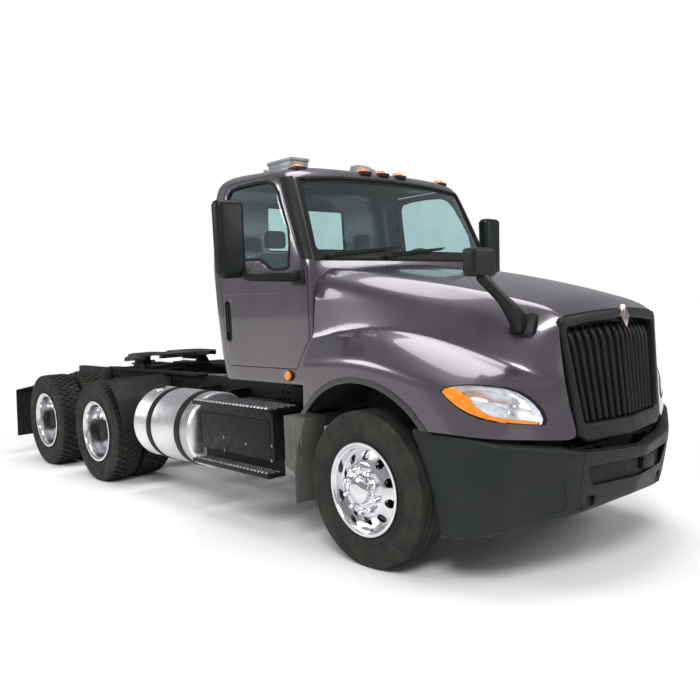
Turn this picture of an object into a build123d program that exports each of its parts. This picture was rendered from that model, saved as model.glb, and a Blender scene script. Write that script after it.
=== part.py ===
from build123d import *
from math import cos, radians, sin
import os

os.makedirs("parts", exist_ok=True)

# Driving dimensions in millimetres. The nose points toward -Y, +X is the
# driver's side, and Z = 0 is the ground under the tyres. Distances named
# "_y" are measured rearward from the front axle.
overall_length = 7545
front_overhang = 1340
wheelbase = 4572
tandem_spread = 1320
tyre_r = 510
tyre_w = 284
rim_r = 300
rim_flange_r = 308
rim_seat = 299.7
front_wheel_x = 1031
rear_outer_x = 1073
rear_inner_x = 743
kingpin_x = 930
spindle_r = 61.7
frame_half = 432
frame_top = 1040
frame_depth = 260
rail_flange = 80
rail_wall = 9
frame_front_y = -1010
frame_rear_y = 6080
cab_floor_z = 1130
cab_wall = 50
glass_inset = 14
glass_thick = 6
door_gap = 6
sill_z = 1250
door_front_y = 622
door_rear_y = 1705
hinge_x = 1056
hinge_y = 634
hinge_pin_r = 5
hinge_levels = (1560, 1830)
hood_skin = 22
arch_r = 700
arch_y = 35
arch_z = 500
hood_hinge_y = -1215
hood_hinge_z = 772
hood_pin_r = 12
tank_r = 330
tank_x = 860
tank_z = 650
tank_front_y = 2080
tank_rear_y = 3130
pivot_y = 4450
pivot_z = 1150
plate_top = 1225
kingpin_r = 25.65
clearance = 0.3

axle_f = -overall_length / 2 + front_overhang
axle_m = axle_f + wheelbase - tandem_spread / 2
axle_r = axle_f + wheelbase + tandem_spread / 2
axle_z = tyre_r
sides = [-1, 1]


def box_between(x0, x1, y0, y1, z0, z1):
    # An axis-aligned block given by its faces, y counted from the front axle.
    with BuildPart() as block:
        with Locations(((x0 + x1) / 2, axle_f + (y0 + y1) / 2, (z0 + z1) / 2)):
            Box(abs(x1 - x0), abs(y1 - y0), abs(z1 - z0))
    return block.part


def prism_x(points, x0, x1):
    # A side-view outline of (y, z) points, extruded across the truck.
    with BuildPart() as prism:
        with BuildSketch(Plane.YZ.offset(min(x0, x1))):
            with BuildLine():
                Polyline([(axle_f + y, z) for y, z in points], close=True)
            make_face()
        extrude(amount=abs(x1 - x0))
    return prism.part


def prism_y(points, y0, y1):
    # A front-view outline of (x, z) points, extruded along the truck.
    with BuildPart() as prism:
        with BuildSketch(Plane.XZ.offset(-(axle_f + y1))):
            with BuildLine():
                Polyline(points, close=True)
            make_face()
        extrude(amount=y1 - y0)
    return prism.part


def prism_z(points, z0, z1):
    # A plan outline of (x, y) points, extruded upward.
    with BuildPart() as prism:
        with BuildSketch(Plane.XY.offset(z0)):
            with BuildLine():
                Polyline([(x, axle_f + y) for x, y in points], close=True)
            make_face()
        extrude(amount=z1 - z0)
    return prism.part


def rod_x(r, x0, x1, y, z):
    # A round bar across the truck.
    with BuildPart() as rod:
        with BuildSketch(Plane.YZ.offset(min(x0, x1))):
            with Locations((axle_f + y, z)):
                Circle(r)
        extrude(amount=abs(x1 - x0))
    return rod.part


def rod_y(r, y0, y1, x, z):
    # A round bar along the truck.
    with BuildPart() as rod:
        with BuildSketch(Plane.XZ.offset(-(axle_f + y1))):
            with Locations((x, z)):
                Circle(r)
        extrude(amount=y1 - y0)
    return rod.part


def rod_z(r, x, y, z0, z1):
    # A round bar standing upright.
    with BuildPart() as rod:
        with BuildSketch(Plane.XY.offset(z0)):
            with Locations((x, axle_f + y)):
                Circle(r)
        extrude(amount=z1 - z0)
    return rod.part


def save(solids, name):
    # One node: its solids joined in a compound and written as STEP.
    with BuildPart() as node:
        for solid in solids:
            add(solid)
    node.part.label = name
    export_step(node.part, "parts/" + name + ".step")


# ---------------------------------------------------------------- hood form
# Cross-sections from the windshield to the nose: y, then (x, z) of the crown
# centre, crown edge, shoulder, side foot, bulge top, bulge side, lower edge.
hood_rows = [
    (800, (0, 2030), (860, 1990), (1005, 1925), (1046, 1470), (1066, 1420), (1120, 1290), (1130, 960)),
    (600, (0, 2005), (840, 1965), (990, 1895), (1040, 1475), (1066, 1430), (1138, 1310), (1150, 955)),
    (300, (0, 1962), (790, 1918), (945, 1830), (1000, 1520), (1062, 1470), (1160, 1330), (1172, 950)),
    (0, (0, 1912), (730, 1868), (880, 1765), (950, 1535), (1046, 1488), (1162, 1340), (1176, 945)),
    (-300, (0, 1855), (672, 1812), (810, 1690), (890, 1490), (1016, 1445), (1152, 1290), (1166, 940)),
    (-600, (0, 1790), (615, 1748), (742, 1610), (825, 1400), (966, 1362), (1122, 1205), (1138, 932)),
    (-880, (0, 1730), (568, 1677), (685, 1540), (755, 1300), (890, 1268), (1050, 1125), (1078, 920)),
    (-1000, (0, 1697), (552, 1640), (645, 1505), (690, 1245), (800, 1218), (895, 1085), (925, 903)),
    (-1080, (0, 1672), (540, 1610), (612, 1480), (645, 1200), (680, 1180), (725, 1060), (745, 882)),
    (-1250, (0, 1650), (505, 1590), (540, 1460), (552, 1180), (556, 1150), (490, 1000), (472, 862)),
]
nose_rake = 0.1


def hood_form(inset, rear_y, front_trim, drop):
    # The whole hood body, shrunk by inset and with its floor dropped.
    with BuildPart() as form:
        for row in hood_rows:
            if row[0] > rear_y:
                continue
            y = row[0]
            rake = 0
            if row is hood_rows[-1]:
                y = y + front_trim
                rake = nose_rake
            p = [(max(x - inset, 0), z - inset) for x, z in row[1:]]
            p[6] = (row[7][0] - inset, row[7][1] - drop)
            floor_z = row[7][1] - drop
            station = Plane((0, axle_f + y - rake * 862, 0), x_dir=(1, 0, 0), z_dir=(0, -1, rake))
            with BuildSketch(station):
                with BuildLine():
                    ThreePointArc((-p[1][0], p[1][1]), p[0], p[1])
                    for s in sides:
                        Line((s * p[1][0], p[1][1]), (s * p[2][0], p[2][1]))
                        Line((s * p[2][0], p[2][1]), (s * p[3][0], p[3][1]))
                        Line((s * p[3][0], p[3][1]), (s * p[4][0], p[4][1]))
                        Line((s * p[4][0], p[4][1]), (s * p[5][0], p[5][1]))
                        Line((s * p[5][0], p[5][1]), (s * p[6][0], p[6][1]))
                    Line((-p[6][0], floor_z), (p[6][0], floor_z))
                make_face()
        loft()
    return form.part


# ----------------------------------------------------------------- cab form
# Levels: z, half width, front centre y, front side y, corner y, rear y.
cab_rows = [
    (cab_floor_z, 1028, 600, 601, 606, 1775),
    (1250, 1044, 600, 601, 606, 1790),
    (2000, 1050, 545, 612, 626, 1862),
    (2660, 935, 800, 885, 945, 1722),
    (2732, 840, 862, 950, 1020, 1670),
    (2766, 640, 940, 1020, 1090, 1590),
]


def cab_form(inset, foot):
    # The cab body between its floor and roof, shrunk by inset all round.
    with BuildPart() as form:
        for row in cab_rows:
            z, half, front, front_side, corner, rear = row
            z = z - inset if z > 2100 else z
            if row is cab_rows[0]:
                z = z + foot
            w = half - inset
            f = w - 110
            r = w - 90
            with BuildSketch(Plane.XY.offset(z)):
                with BuildLine():
                    ThreePointArc(
                        (-f, axle_f + front_side + inset),
                        (0, axle_f + front + inset),
                        (f, axle_f + front_side + inset),
                    )
                    for s in sides:
                        Line((s * f, axle_f + front_side + inset), (s * w, axle_f + corner + inset))
                        Line((s * w, axle_f + corner + inset), (s * w, axle_f + rear - 60 - inset))
                        Line((s * w, axle_f + rear - 60 - inset), (s * r, axle_f + rear - inset))
                    Line((-r, axle_f + rear - inset), (r, axle_f + rear - inset))
                make_face()
        loft(ruled=True)
    return form.part


cab_outer = cab_form(0, 0)
cab_inner = cab_form(cab_wall, 60)
cab_ring = cab_outer - cab_inner
glass_layer = cab_form(glass_inset, 0) - cab_form(glass_inset + glass_thick, 0)

door_outline = [
    (door_front_y + 6, 1890),
    (door_front_y + 6, 1475),
    (door_front_y + 162, sill_z),
    (door_rear_y - 60, sill_z),
    (door_rear_y, 2000),
    (1600, 2650),
    (990, 2650),
    (648, 2005),
]
door_hole = [
    (door_front_y, 1892),
    (door_front_y, 1472),
    (door_front_y + 159, sill_z - door_gap),
    (door_rear_y - 54, sill_z - door_gap),
    (door_rear_y + door_gap, 2000),
    (1606, 2656),
    (986, 2656),
    (641, 2005),
]
door_window = [
    (790, 1975),
    (1000, 1985),
    (1110, 2090),
    (1590, 2110),
    (1540, 2575),
    (1030, 2575),
]
door_holes = prism_x(door_hole, -1200, -850) + prism_x(door_hole, 850, 1200)
cowl_keep = box_between(-990, 990, 500, 700, 1150, 2000)
door_holes = door_holes - cowl_keep
cowl_keep_door = box_between(-996, 996, 500, 706, 1150, 2000)

shield_hole = [(-830, 2040), (830, 2040), (760, 2610), (-760, 2610)]
rear_hole = [(-450, 2180), (450, 2180), (440, 2570), (-440, 2570)]

cab_shell = (
    cab_ring
    - door_holes
    - prism_y(shield_hole, 400, 1150)
    - prism_y(rear_hole, 1600, 2000)
)
for s in sides:
    for y in (690, 1600):
        cab_shell = cab_shell + box_between(s * 360, s * 430, y, y + 80, frame_top, cab_floor_z)
    for z in hinge_levels:
        for low in (z - 42, z + 30.5):
            cab_shell = cab_shell + box_between(s * 1025, s * 1066, 608, 643, low, low + 11.5)
        cab_shell = cab_shell + rod_z(hinge_pin_r, s * hinge_x, hinge_y, z - 42, z + 42)
save([cab_shell], "cab_shell")
save([glass_layer & prism_y(shield_hole, 400, 1150), glass_layer & prism_y(rear_hole, 1600, 2000)], "cab_glass")

for s, name in [(-1, "right"), (1, "left")]:
    span = (min(s * 850, s * 1200), max(s * 850, s * 1200))
    panel = (cab_ring & prism_x(door_outline, *span)) - prism_x(door_window, *span) - cowl_keep_door
    for z in hinge_levels:
        panel = panel - box_between(s * 1018, s * 1080, 600, 650, z - 47, z + 47)
        barrel = rod_z(9, s * hinge_x, hinge_y, z - 30, z + 30)
        leaf = box_between(s * 1030, s * 1052, hinge_y, 670, z - 30, z + 30)
        panel = panel + (barrel + leaf - rod_z(hinge_pin_r + clearance, s * hinge_x, hinge_y, z - 50, z + 50))
    pocket = box_between(s * 1034, s * 1070, 1592, 1642, 1500, 1740)
    grip = box_between(s * 1030, s * 1044, 1608, 1624, 1500, 1740)
    save([(panel - pocket) + grip], "door_" + name)
    save([glass_layer & prism_x(door_window, *span)], "door_glass_" + name)

# Door mirrors: a tall housing on an arm from the front of the window sill.
for s, name in [(-1, "right"), (1, "left")]:
    with BuildPart() as casing:
        with Locations((s * 1465, axle_f + 940, 2180)):
            Box(230, 110, 540)
        fillet(casing.edges().filter_by(Axis.Z), 45)
        fillet(casing.edges().group_by(Axis.Z)[-1], 40)
        fillet(casing.edges().group_by(Axis.Z)[0], 40)
    arm = box_between(s * 1000, s * 1370, 700, 780, 1885, 1945) - cab_outer
    knee = box_between(s * 1360, s * 1450, 700, 960, 1885, 1945)
    save([casing.part + arm + knee], "mirror_" + name)

# ---------------------------------------------------------------- hood body
# Grille: two flat halves meeting in a shallow prow, each with seven bars.
grille_run = Vector(0.9904, 0.1381, 0)
grille_rise = Vector(0, 0.0864, 0.9963)
grille_root = (0, axle_f - 1238, 795)
grille_face = Plane(grille_root, x_dir=grille_run, z_dir=grille_run.cross(grille_rise))
surround = [(-20, 0), (-20, 840), (300, 822), (575, 765), (515, 55), (430, 5)]
surround_hole = [(-20, -80), (-20, 840), (300, 822), (575, 765), (515, 55), (515, -80)]


def on_grille(outline, near, far):
    # The two mirrored halves of an outline drawn on the grille's face.
    with BuildPart() as half:
        with BuildSketch(grille_face.offset(near)):
            with BuildLine():
                Polyline(outline, close=True)
            make_face()
        extrude(amount=far - near)
    left = half.part & box_between(0, 1400, -1700, -900, 500, 1900)
    return left + mirror(left, about=Plane.YZ)


hood_outer = hood_form(0, 800, 0, 0)
hood_inner = hood_form(hood_skin, 800, 120, 60)
rear_trim = [(600, 2200), (600, 1350), (650, 1250), (750, 1105), (790, 900), (900, 900), (900, 2200)]
lamp_outline = [
    (-640, 1180),
    (-700, 1213),
    (-780, 1218),
    (-870, 1210),
    (-946, 1195),
    (-1000, 1165),
    (-1054, 1087),
    (-1080, 997),
    (-1078, 966),
    (-990, 994),
    (-880, 1024),
    (-733, 1096),
]
arches = rod_x(arch_r, -1300, -780, arch_y, arch_z) + rod_x(arch_r, 780, 1300, arch_y, arch_z)
lamp_holes = prism_x(lamp_outline, -1250, -640) + prism_x(lamp_outline, 640, 1250)
nose_wedge = [(-1190, 700), (-1090, 1570), (-1090, 1590), (-1400, 1590), (-1400, 700)]
hood = (
    (hood_outer - hood_inner)
    - prism_x(rear_trim, -1300, 1300)
    - cab_form(-12, -200)
    - arches
    - lamp_holes
    - prism_x(nose_wedge, -1300, -572)
    - prism_x(nose_wedge, 572, 1300)
    - on_grille([(-60, -200), (-60, 1100), (700, 1100), (590, -200)], 0, 200)
    - on_grille(surround_hole, -130, 5)
)
save([hood], "hood")
lamps = (hood_form(4, 800, 4, 0) - hood_form(60, 800, 60, 60)) & (
    prism_x(lamp_outline, -1250, -640) + prism_x(lamp_outline, 640, 1250)
)
save([lamps], "headlamps")

with BuildPart() as bars:
    with BuildSketch(grille_face.offset(-8)):
        for i in range(7):
            low = 34 + 58 * i
            high = 38 + 66 * i
            with BuildLine():
                Polyline([(low, 150), (low + 28, 150), (high + 34, 790 - 8 * i), (high, 790 - 8 * i)], close=True)
            make_face()
    extrude(amount=-30)
bezel = on_grille(surround, -45, 0) - on_grille([(-20, 190), (-20, 770), (490, 728), (425, 190)], -60, 10)
grille = bezel + bars.part + mirror(bars.part, about=Plane.YZ)
for s in sides:
    knuckle = rod_x(22, s * 250, s * 330, hood_hinge_y, hood_hinge_z)
    link = box_between(s * 250, s * 330, hood_hinge_y, -1150, 764, 780)
    grille = grille + knuckle + link + box_between(s * 250, s * 330, -1175, -1150, 764, 830)
    grille = grille - rod_x(hood_pin_r + clearance, s * 240, s * 340, hood_hinge_y, hood_hinge_z)
save([grille], "grille")

# The hood mirror: a head on a bent arm, on the kerb side only.
with BuildPart() as mirror_head:
    with Locations((-1010, axle_f - 855, 1908)):
        Box(190, 90, 150)
    fillet(mirror_head.edges().filter_by(Axis.Z), 36)
    fillet(mirror_head.edges().group_by(Axis.Z)[-1], 30)
arm_outline = [(-1060, 1840), (-960, 1840), (-800, 1705), (-600, 1590), (-600, 1400), (-860, 1560), (-905, 1690)]
mirror_arm = prism_y(arm_outline, -990, -830) - hood_outer
save([mirror_head.part + mirror_arm], "hood_mirror")
# ------------------------------------------------------------------- bumper
# Plan outline at each level: z, then (x, y) from the rear of the side round
# to the centre of the front.
bumper_rows = [
    (280, (1085, -600), (1075, -760), (990, -900), (690, -1050), (500, -1130), (0, -1200)),
    (560, (1102, -560), (1092, -790), (1010, -955), (700, -1105), (520, -1185), (0, -1275)),
    (760, (1112, -480), (1100, -800), (1020, -985), (700, -1140), (520, -1222), (0, -1340)),
    (930, (1108, -400), (1096, -790), (1010, -970), (700, -1120), (520, -1200), (0, -1310)),
]


def bumper_form(inset, foot, head):
    # The bumper's solid envelope, shrunk by inset behind its skin.
    with BuildPart() as form:
        for row in bumper_rows:
            z = row[0]
            if row is bumper_rows[0]:
                z = z - foot
            if row is bumper_rows[-1]:
                z = z + head
            p = [(x - inset if x > 0 else 0, y + inset) for x, y in row[1:]]
            p[0] = (row[1][0] - inset, row[1][1] + foot)
            outline = [(x, axle_f + y) for x, y in p]
            mirrored = [(-x, axle_f + y) for x, y in p[:-1]]
            with BuildSketch(Plane.XY.offset(z)):
                with BuildLine():
                    Polyline(outline + mirrored[::-1], close=True)
                make_face()
        loft(ruled=True)
    return form.part


bumper_top = [(-300, 930), (-560, 922), (-755, 902), (-1014, 853), (-1113, 808), (-1224, 778), (-1400, 770)]
bumper_foot = [(-400, 280), (-600, 292), (-815, 316), (-1037, 355), (-1149, 382), (-1219, 407), (-1284, 440), (-1400, 450)]
above = [(-1400, 1000), (-300, 1000)]
below = [(-1400, 200), (-400, 200)]
hollow = bumper_form(14, 20, 20) - prism_x([(y, z - 14) for y, z in bumper_top] + above, -1300, 1300)
bumper = (
    bumper_form(0, 0, 0)
    - prism_x(bumper_top + above, -1300, 1300)
    - prism_x(bumper_foot + below, -1300, 1300)
    - hollow
    - bumper_form(70, 20, 20)
)
recess_block = bumper_form(0, 0, 0) & box_between(-482, 482, -1400, -1180, 586, 714)
bumper = bumper + recess_block
bumper = bumper - prism_y([(-470, 702), (-400, 598), (400, 598), (470, 702)], -1400, -1194)
bumper = bumper - (bumper_form(14, 20, 20) & box_between(-520, 520, -1400, -900, 716, 950))
seam = bumper_form(0, 0, 0) - bumper_form(6, 20, 20)
for s in sides:
    bumper = bumper - box_between(s * 380, s * 460, -1300, -1000, 450, 520)
    bumper = bumper - (seam & box_between(s * 520, s * 526, -1400, -1000, 300, 790))
stay = [(-1010, 785), (-1010, 860), (-1080, 860), (-1120, 740), (-1225, 690), (-1212, 625), (-1150, 620)]
for s in sides:
    bumper = bumper + prism_x(stay, s * 352, s * 430)
save([bumper], "bumper")

# -------------------------------------------------------------------- frame
rails = []
for s in sides:
    channel = [
        (s * frame_half, frame_top),
        (s * (frame_half - rail_flange), frame_top),
        (s * (frame_half - rail_flange), frame_top - rail_wall),
        (s * (frame_half - rail_wall), frame_top - rail_wall),
        (s * (frame_half - rail_wall), frame_top - frame_depth + rail_wall),
        (s * (frame_half - rail_flange), frame_top - frame_depth + rail_wall),
        (s * (frame_half - rail_flange), frame_top - frame_depth),
        (s * frame_half, frame_top - frame_depth),
    ]
    rails.append(prism_y(channel, frame_front_y, frame_rear_y))
save(rails, "frame_rails")
inner = frame_half - rail_wall
cross_rows = [(-1000, 60), (1700, 60), (2400, 60), (3000, 60), (3560, 60), (4180, 80), (4960, 80), (5600, 60), (6010, 60)]
crossmembers = []
for y, width in cross_rows:
    crossmembers.append(box_between(-inner, inner, y, y + width, 800, 975))
lug = [(-990, 800), (-990, 850), (-1040, 850), (-1120, 786), (-1215, 784), (-1215, 756), (-1110, 735)]
for s in sides:
    for x in (232, 334):
        crossmembers[0] = crossmembers[0] + prism_x(lug, s * x, s * (x + 14))
        crossmembers[0] = crossmembers[0] + rod_x(18, s * x, s * (x + 14), hood_hinge_y, hood_hinge_z)
    crossmembers[0] = crossmembers[0] + rod_x(hood_pin_r, s * 240, s * 340, hood_hinge_y, hood_hinge_z)
save(crossmembers, "crossmembers")

# Engine and transmission as plain blocks, with the two propeller shafts.
engine = box_between(-330, 330, -760, 480, 760, 1560)
gearbox = prism_y([(-220, 760), (220, 760), (190, 1090), (-190, 1090)], 480, 1380)
powertrain = engine + gearbox
for s in sides:
    powertrain = powertrain + box_between(s * 300, s * inner, -600, -520, 880, 940)
    powertrain = powertrain + box_between(s * 190, s * inner, 1150, 1210, 860, 920)
save([powertrain], "powertrain")
shafts = [
    rod_y(55, 1381, 1699, 0, 880),
    rod_y(55, 1761, 2399, 0, 880),
    rod_y(55, 2461, 2999, 0, 880),
    rod_y(55, 3061, 3559, 0, 880),
]
core = [(340, 975), (340, 1060), (430, 1060), (430, 1480)]
save([prism_y(core + [(-x, z) for x, z in core[::-1]], -960, -830)], "radiator")

# ------------------------------------------------------- axles and springs
beam = box_between(-820, 820, -60, 60, 400, 500)
for s in sides:
    beam = beam + box_between(s * 790, s * 845, -60, 60, 370, 650)
    beam = beam + box_between(s * 840, s * 958, -38, 38, 370, 395)
    beam = beam + box_between(s * 840, s * 958, -38, 38, 625, 650)
    beam = beam + rod_z(22, s * kingpin_x, 0, 380, 640)
save([beam], "front_axle")
leaf_solids = []
for s in sides:
    leaf = prism_x([(-800, 700), (-60, 590), (60, 590), (800, 700), (800, 660), (60, 530), (-60, 530), (-800, 660)], s * 385, s * 475)
    seat = box_between(s * 385, s * 475, -60, 60, 500, 530)
    hanger_a = box_between(s * 385, s * 475, -800, -740, 670, 780)
    hanger_b = box_between(s * 385, s * 475, 740, 800, 670, 780)
    leaf_solids.append(leaf + seat + hanger_a + hanger_b)
save(leaf_solids, "front_springs")
rear_axles = []
for y in (wheelbase - tandem_spread / 2, wheelbase + tandem_spread / 2):
    housing = rod_x(75, -560, 560, y, axle_z)
    with BuildPart() as bowl:
        with Locations((0, axle_f + y, axle_z)):
            Sphere(210)
    rear_axles.append(housing + bowl.part + rod_x(spindle_r, -1120, 1120, y, axle_z))
save(rear_axles + shafts, "rear_axles_and_shafts")
beams = []
for s in sides:
    equaliser = prism_x([(3820, 640), (4520, 700), (4620, 700), (5320, 640), (5320, 560), (4620, 600), (4520, 600), (3820, 560)], s * 390, s * 480)
    for y in (wheelbase - tandem_spread / 2, wheelbase + tandem_spread / 2):
        equaliser = equaliser - rod_x(75 + clearance, s * 380, s * 490, y, axle_z)
    saddle = box_between(s * frame_half, s * 480, 4450, 4690, 700, 960)
    beams.append(equaliser + saddle)
save(beams, "rear_suspension")

# ------------------------------------------------------ tanks and steps
tanks = []
straps = []
steps = []
for s in sides:
    with BuildPart() as tank:
        with BuildSketch(Plane.XZ.offset(-(axle_f + tank_rear_y))):
            with Locations((s * tank_x, tank_z)):
                Circle(tank_r)
        extrude(amount=tank_rear_y - tank_front_y)
        fillet(tank.edges().filter_by(GeomType.CIRCLE), 28)
    cap = box_between(s * 760, s * 860, 2940, 3040, 955, 1010)
    tanks.append(tank.part + cap)
    for y in (2270, 2770):
        ring = rod_y(tank_r + 6, y, y + 70, s * tank_x, tank_z) - rod_y(tank_r + clearance, y - 5, y + 75, s * tank_x, tank_z)
        web = box_between(s * frame_half, s * 640, y, y + 70, 790, 970) - rod_y(tank_r + 2, y - 5, y + 75, s * tank_x, tank_z)
        straps.append(ring + web)
    case = box_between(s * 640, s * 1130, 980, 1980, 560, 925)
    tread = box_between(s * 900, s * 1195, 930, 2010, 925, 955)
    low_tread = box_between(s * 1040, s * 1195, 970, 2040, 440, 470)
    riser = box_between(s * 1040, s * 1060, 970, 2040, 470, 575)
    stay_a = box_between(s * frame_half, s * 660, 1100, 1160, 800, 900)
    stay_b = box_between(s * frame_half, s * 660, 1800, 1860, 800, 900)
    steps.append(case + tread + low_tread + riser + stay_a + stay_b)
save(tanks, "fuel_tanks")
save(straps, "tank_straps")
save(steps, "step_boxes")

# Splash guards behind the front wheels, quarter fenders and mud flaps.
guards = []
quarters = []
flaps = []
for s in sides:
    guard = prism_x([(560, 925), (800, 925), (800, 560), (700, 520), (660, 700)], s * 960, s * 1165)
    flap = box_between(s * 960, s * 1165, 690, 700, 300, 560)
    arm = box_between(s * frame_half, s * 970, 700, 760, 820, 900)
    guards.append(guard + flap + arm)
    ring = rod_x(622, s * 580, s * 1200, wheelbase - 660, axle_z) - rod_x(612, s * 570, s * 1210, wheelbase - 660, axle_z)
    sector = prism_x([(3912, 510), (3000, 430), (3000, 1200), (3530, 1200)], s * 570, s * 1210)
    post = box_between(s * frame_half, s * 600, 3380, 3440, 850, 910)
    quarters.append((ring & sector) + post)
    hanger = prism_y([(s * frame_half, 960), (s * frame_half, 880), (s * 620, 840), (s * 1190, 780), (s * 1190, 800), (s * 620, 880)], 6150, 6193)
    sheet = prism_y([(s * 620, 860), (s * 1190, 790), (s * 1205, 230), (s * 610, 230)], 6193, 6205)
    base = box_between(s * 380, s * 450, frame_rear_y, 6193, 880, 960)
    flaps.append(hanger + sheet + base)
save(guards, "splash_guards")
save(quarters, "quarter_fenders")
save(flaps, "mud_flaps")

# -------------------------------------------------------------- fifth wheel
slide_rails = []
for s in sides:
    slide_rails.append(box_between(s * 372, s * 500, 3050, 5100, frame_top, frame_top + 22))
save(slide_rails, "slide_rails")
saddle_solids = []
bed = box_between(-420, 420, pivot_y - 150, pivot_y + 150, frame_top + 22 + clearance, frame_top + 40)
for s in sides:
    ear = prism_x([(pivot_y - 150, 1075), (pivot_y + 150, 1075), (pivot_y + 45, 1185), (pivot_y - 45, 1185)], s * 395, s * 420)
    bed = bed + ear
bed = bed - rod_x(20 + clearance, -500, 500, pivot_y, pivot_z)
save([bed], "fifth_wheel_saddle")

top_outline = [(300, -330), (460, -230), (460, 170), (345, 260), (345, 290), (110, 290), (62, 60), (50, -36)]
plate = prism_z([(x, pivot_y + y) for x, y in top_outline] + [(-x, pivot_y + y) for x, y in top_outline[::-1]], plate_top - 14, plate_top)
for s in sides:
    ramp = prism_x([(pivot_y + 290, plate_top), (pivot_y + 510, 1160), (pivot_y + 510, 1120), (pivot_y + 290, plate_top - 50)], s * 110, s * 345)
    skirt = box_between(s * 440, s * 460, pivot_y - 230, pivot_y + 170, plate_top - 60, plate_top - 14)
    rib = box_between(s * 300, s * 325, pivot_y - 60, pivot_y + 290, plate_top - 110, plate_top - 14)
    pin = rod_x(20, s * 300, s * 430, pivot_y, pivot_z)
    plate = plate + ramp + skirt + rib + pin
lip = box_between(-300, 300, pivot_y - 330, pivot_y - 310, plate_top - 50, plate_top - 14)
lock = box_between(-75, 75, pivot_y - 75, pivot_y + 75, plate_top - 62, plate_top - 14)
plate = plate + lip + lock
with BuildPart() as pin_bore:
    with Locations((0, axle_f + pivot_y, plate_top - 40)):
        Cylinder(kingpin_r, 160)
save([plate - pin_bore.part], "fifth_wheel_plate")

# ------------------------------------------------------------------- wheels
tyre_profile = [
    (rim_r, -115),
    (314, -115),
    (334, -130),
    (420, -142),
    (470, -142),
    (tyre_r, -120),
    (tyre_r, 120),
    (470, 142),
    (420, 142),
    (334, 130),
    (314, 115),
    (rim_r, 115),
]


def ring_about_x(profile, x, y):
    # A ring of (radius, offset) points turned about a wheel's axle line.
    with BuildPart() as ring:
        with BuildSketch(Plane.XY):
            with BuildLine():
                Polyline([(x + offset, r) for r, offset in profile], close=True)
            make_face()
        revolve(axis=Axis.X)
    return Pos(0, axle_f + y, axle_z) * ring.part


flange = [(rim_seat, -110), (rim_seat, -117), (rim_flange_r, -120), (rim_flange_r, -134), (285, -134)]
flange_far = [(285, 134), (rim_flange_r, 134), (rim_flange_r, 120), (rim_seat, 117), (rim_seat, 110)]
front_rim = flange + [(268, -100), (262, 60), (62, 84), (62, 190), (104, 190), (120, 175), (120, 112), (262, 96), (268, 128)] + flange_far
rear_outer_rim = flange + [(262, -110), (62, -142), (62, 60), (104, 60), (118, 48), (118, -100), (250, -80), (268, 120)] + flange_far
rear_inner_rim = flange + [(268, -100), (262, 110), (62, 142), (62, 188), (262, 156), (276, 140)] + flange_far

wheel_rows = [
    ("front_right", -1, 0),
    ("front_left", 1, 0),
    ("middle_right", -1, wheelbase - 660),
    ("middle_left", 1, wheelbase - 660),
    ("rear_right", -1, wheelbase + 660),
    ("rear_left", 1, wheelbase + 660),
]


def with_hand_holes(rim, radius, hole_r, near, far):
    # Ten round holes through a wheel's disc.
    holes = []
    for k in range(10):
        hole_y = radius * sin(radians(36 * k))
        hole_z = axle_z + radius * cos(radians(36 * k))
        holes.append(rod_x(hole_r, near, far, hole_y, hole_z))
    return rim - holes


front_disc = with_hand_holes(ring_about_x(front_rim, 0, 0), 205, 28, 40, 130)
rear_discs = with_hand_holes(ring_about_x(rear_outer_rim, rear_outer_x, 0), 190, 26, rear_outer_x - 160, rear_outer_x - 60)
rear_discs = rear_discs + ring_about_x(rear_inner_rim, rear_inner_x, 0)
for name, s, y in wheel_rows:
    if y == 0:
        tyre = ring_about_x([(r, s * o) for r, o in tyre_profile], s * front_wheel_x, y)
        rim = Pos(front_wheel_x, 0, 0) * front_disc
        save([tyre], "tyre_" + name)
        save([rim if s > 0 else mirror(rim, about=Plane.YZ)], "wheel_" + name)
    else:
        tyres = []
        for x in (rear_outer_x, rear_inner_x):
            tyres.append(ring_about_x([(r, s * o) for r, o in tyre_profile], s * x, y))
        rim = Pos(0, y, 0) * rear_discs
        save(tyres, "tyres_" + name)
        save([rim if s > 0 else mirror(rim, about=Plane.YZ)], "wheels_" + name)

# Steering knuckles: kingpin block, spindle and brake drum.
for s, name in [(-1, "right"), (1, "left")]:
    block = box_between(s * 890, s * 990, -50, 50, 400, 620)
    spindle = rod_x(spindle_r, s * 980, s * 1160, 0, axle_z)
    drum = rod_x(190, s * 985, s * 1060, 0, axle_z)
    bore = rod_z(22 + clearance, s * kingpin_x, 0, 390, 630)
    save([block + spindle + drum - bore], "knuckle_" + name)

# ----------------------------------------------------------------- interior
with BuildPart() as dash:
    with BuildSketch(Plane.YZ.offset(-1020)):
        with BuildLine():
            Polyline([(axle_f + y, z) for y, z in [(560, 1600), (560, 1990), (920, 1990), (1000, 1900), (930, 1720), (800, 1600)]], close=True)
        make_face()
    extrude(amount=2040)
seat_solids = []
for s in sides:
    cushion = box_between(s * 250, s * 750, 1150, 1640, 1480, 1600)
    back = prism_x([(1560, 1600), (1640, 1600), (1720, 2180), (1620, 2180)], s * 270, s * 730)
    head = prism_x([(1640, 2180), (1710, 2180), (1725, 2360), (1660, 2360)], s * 390, s * 610)
    base = box_between(s * 300, s * 700, 1200, 1600, 1190, 1480)
    seat_solids.append(cushion + back + head + base)
save(seat_solids, "seats")

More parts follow.
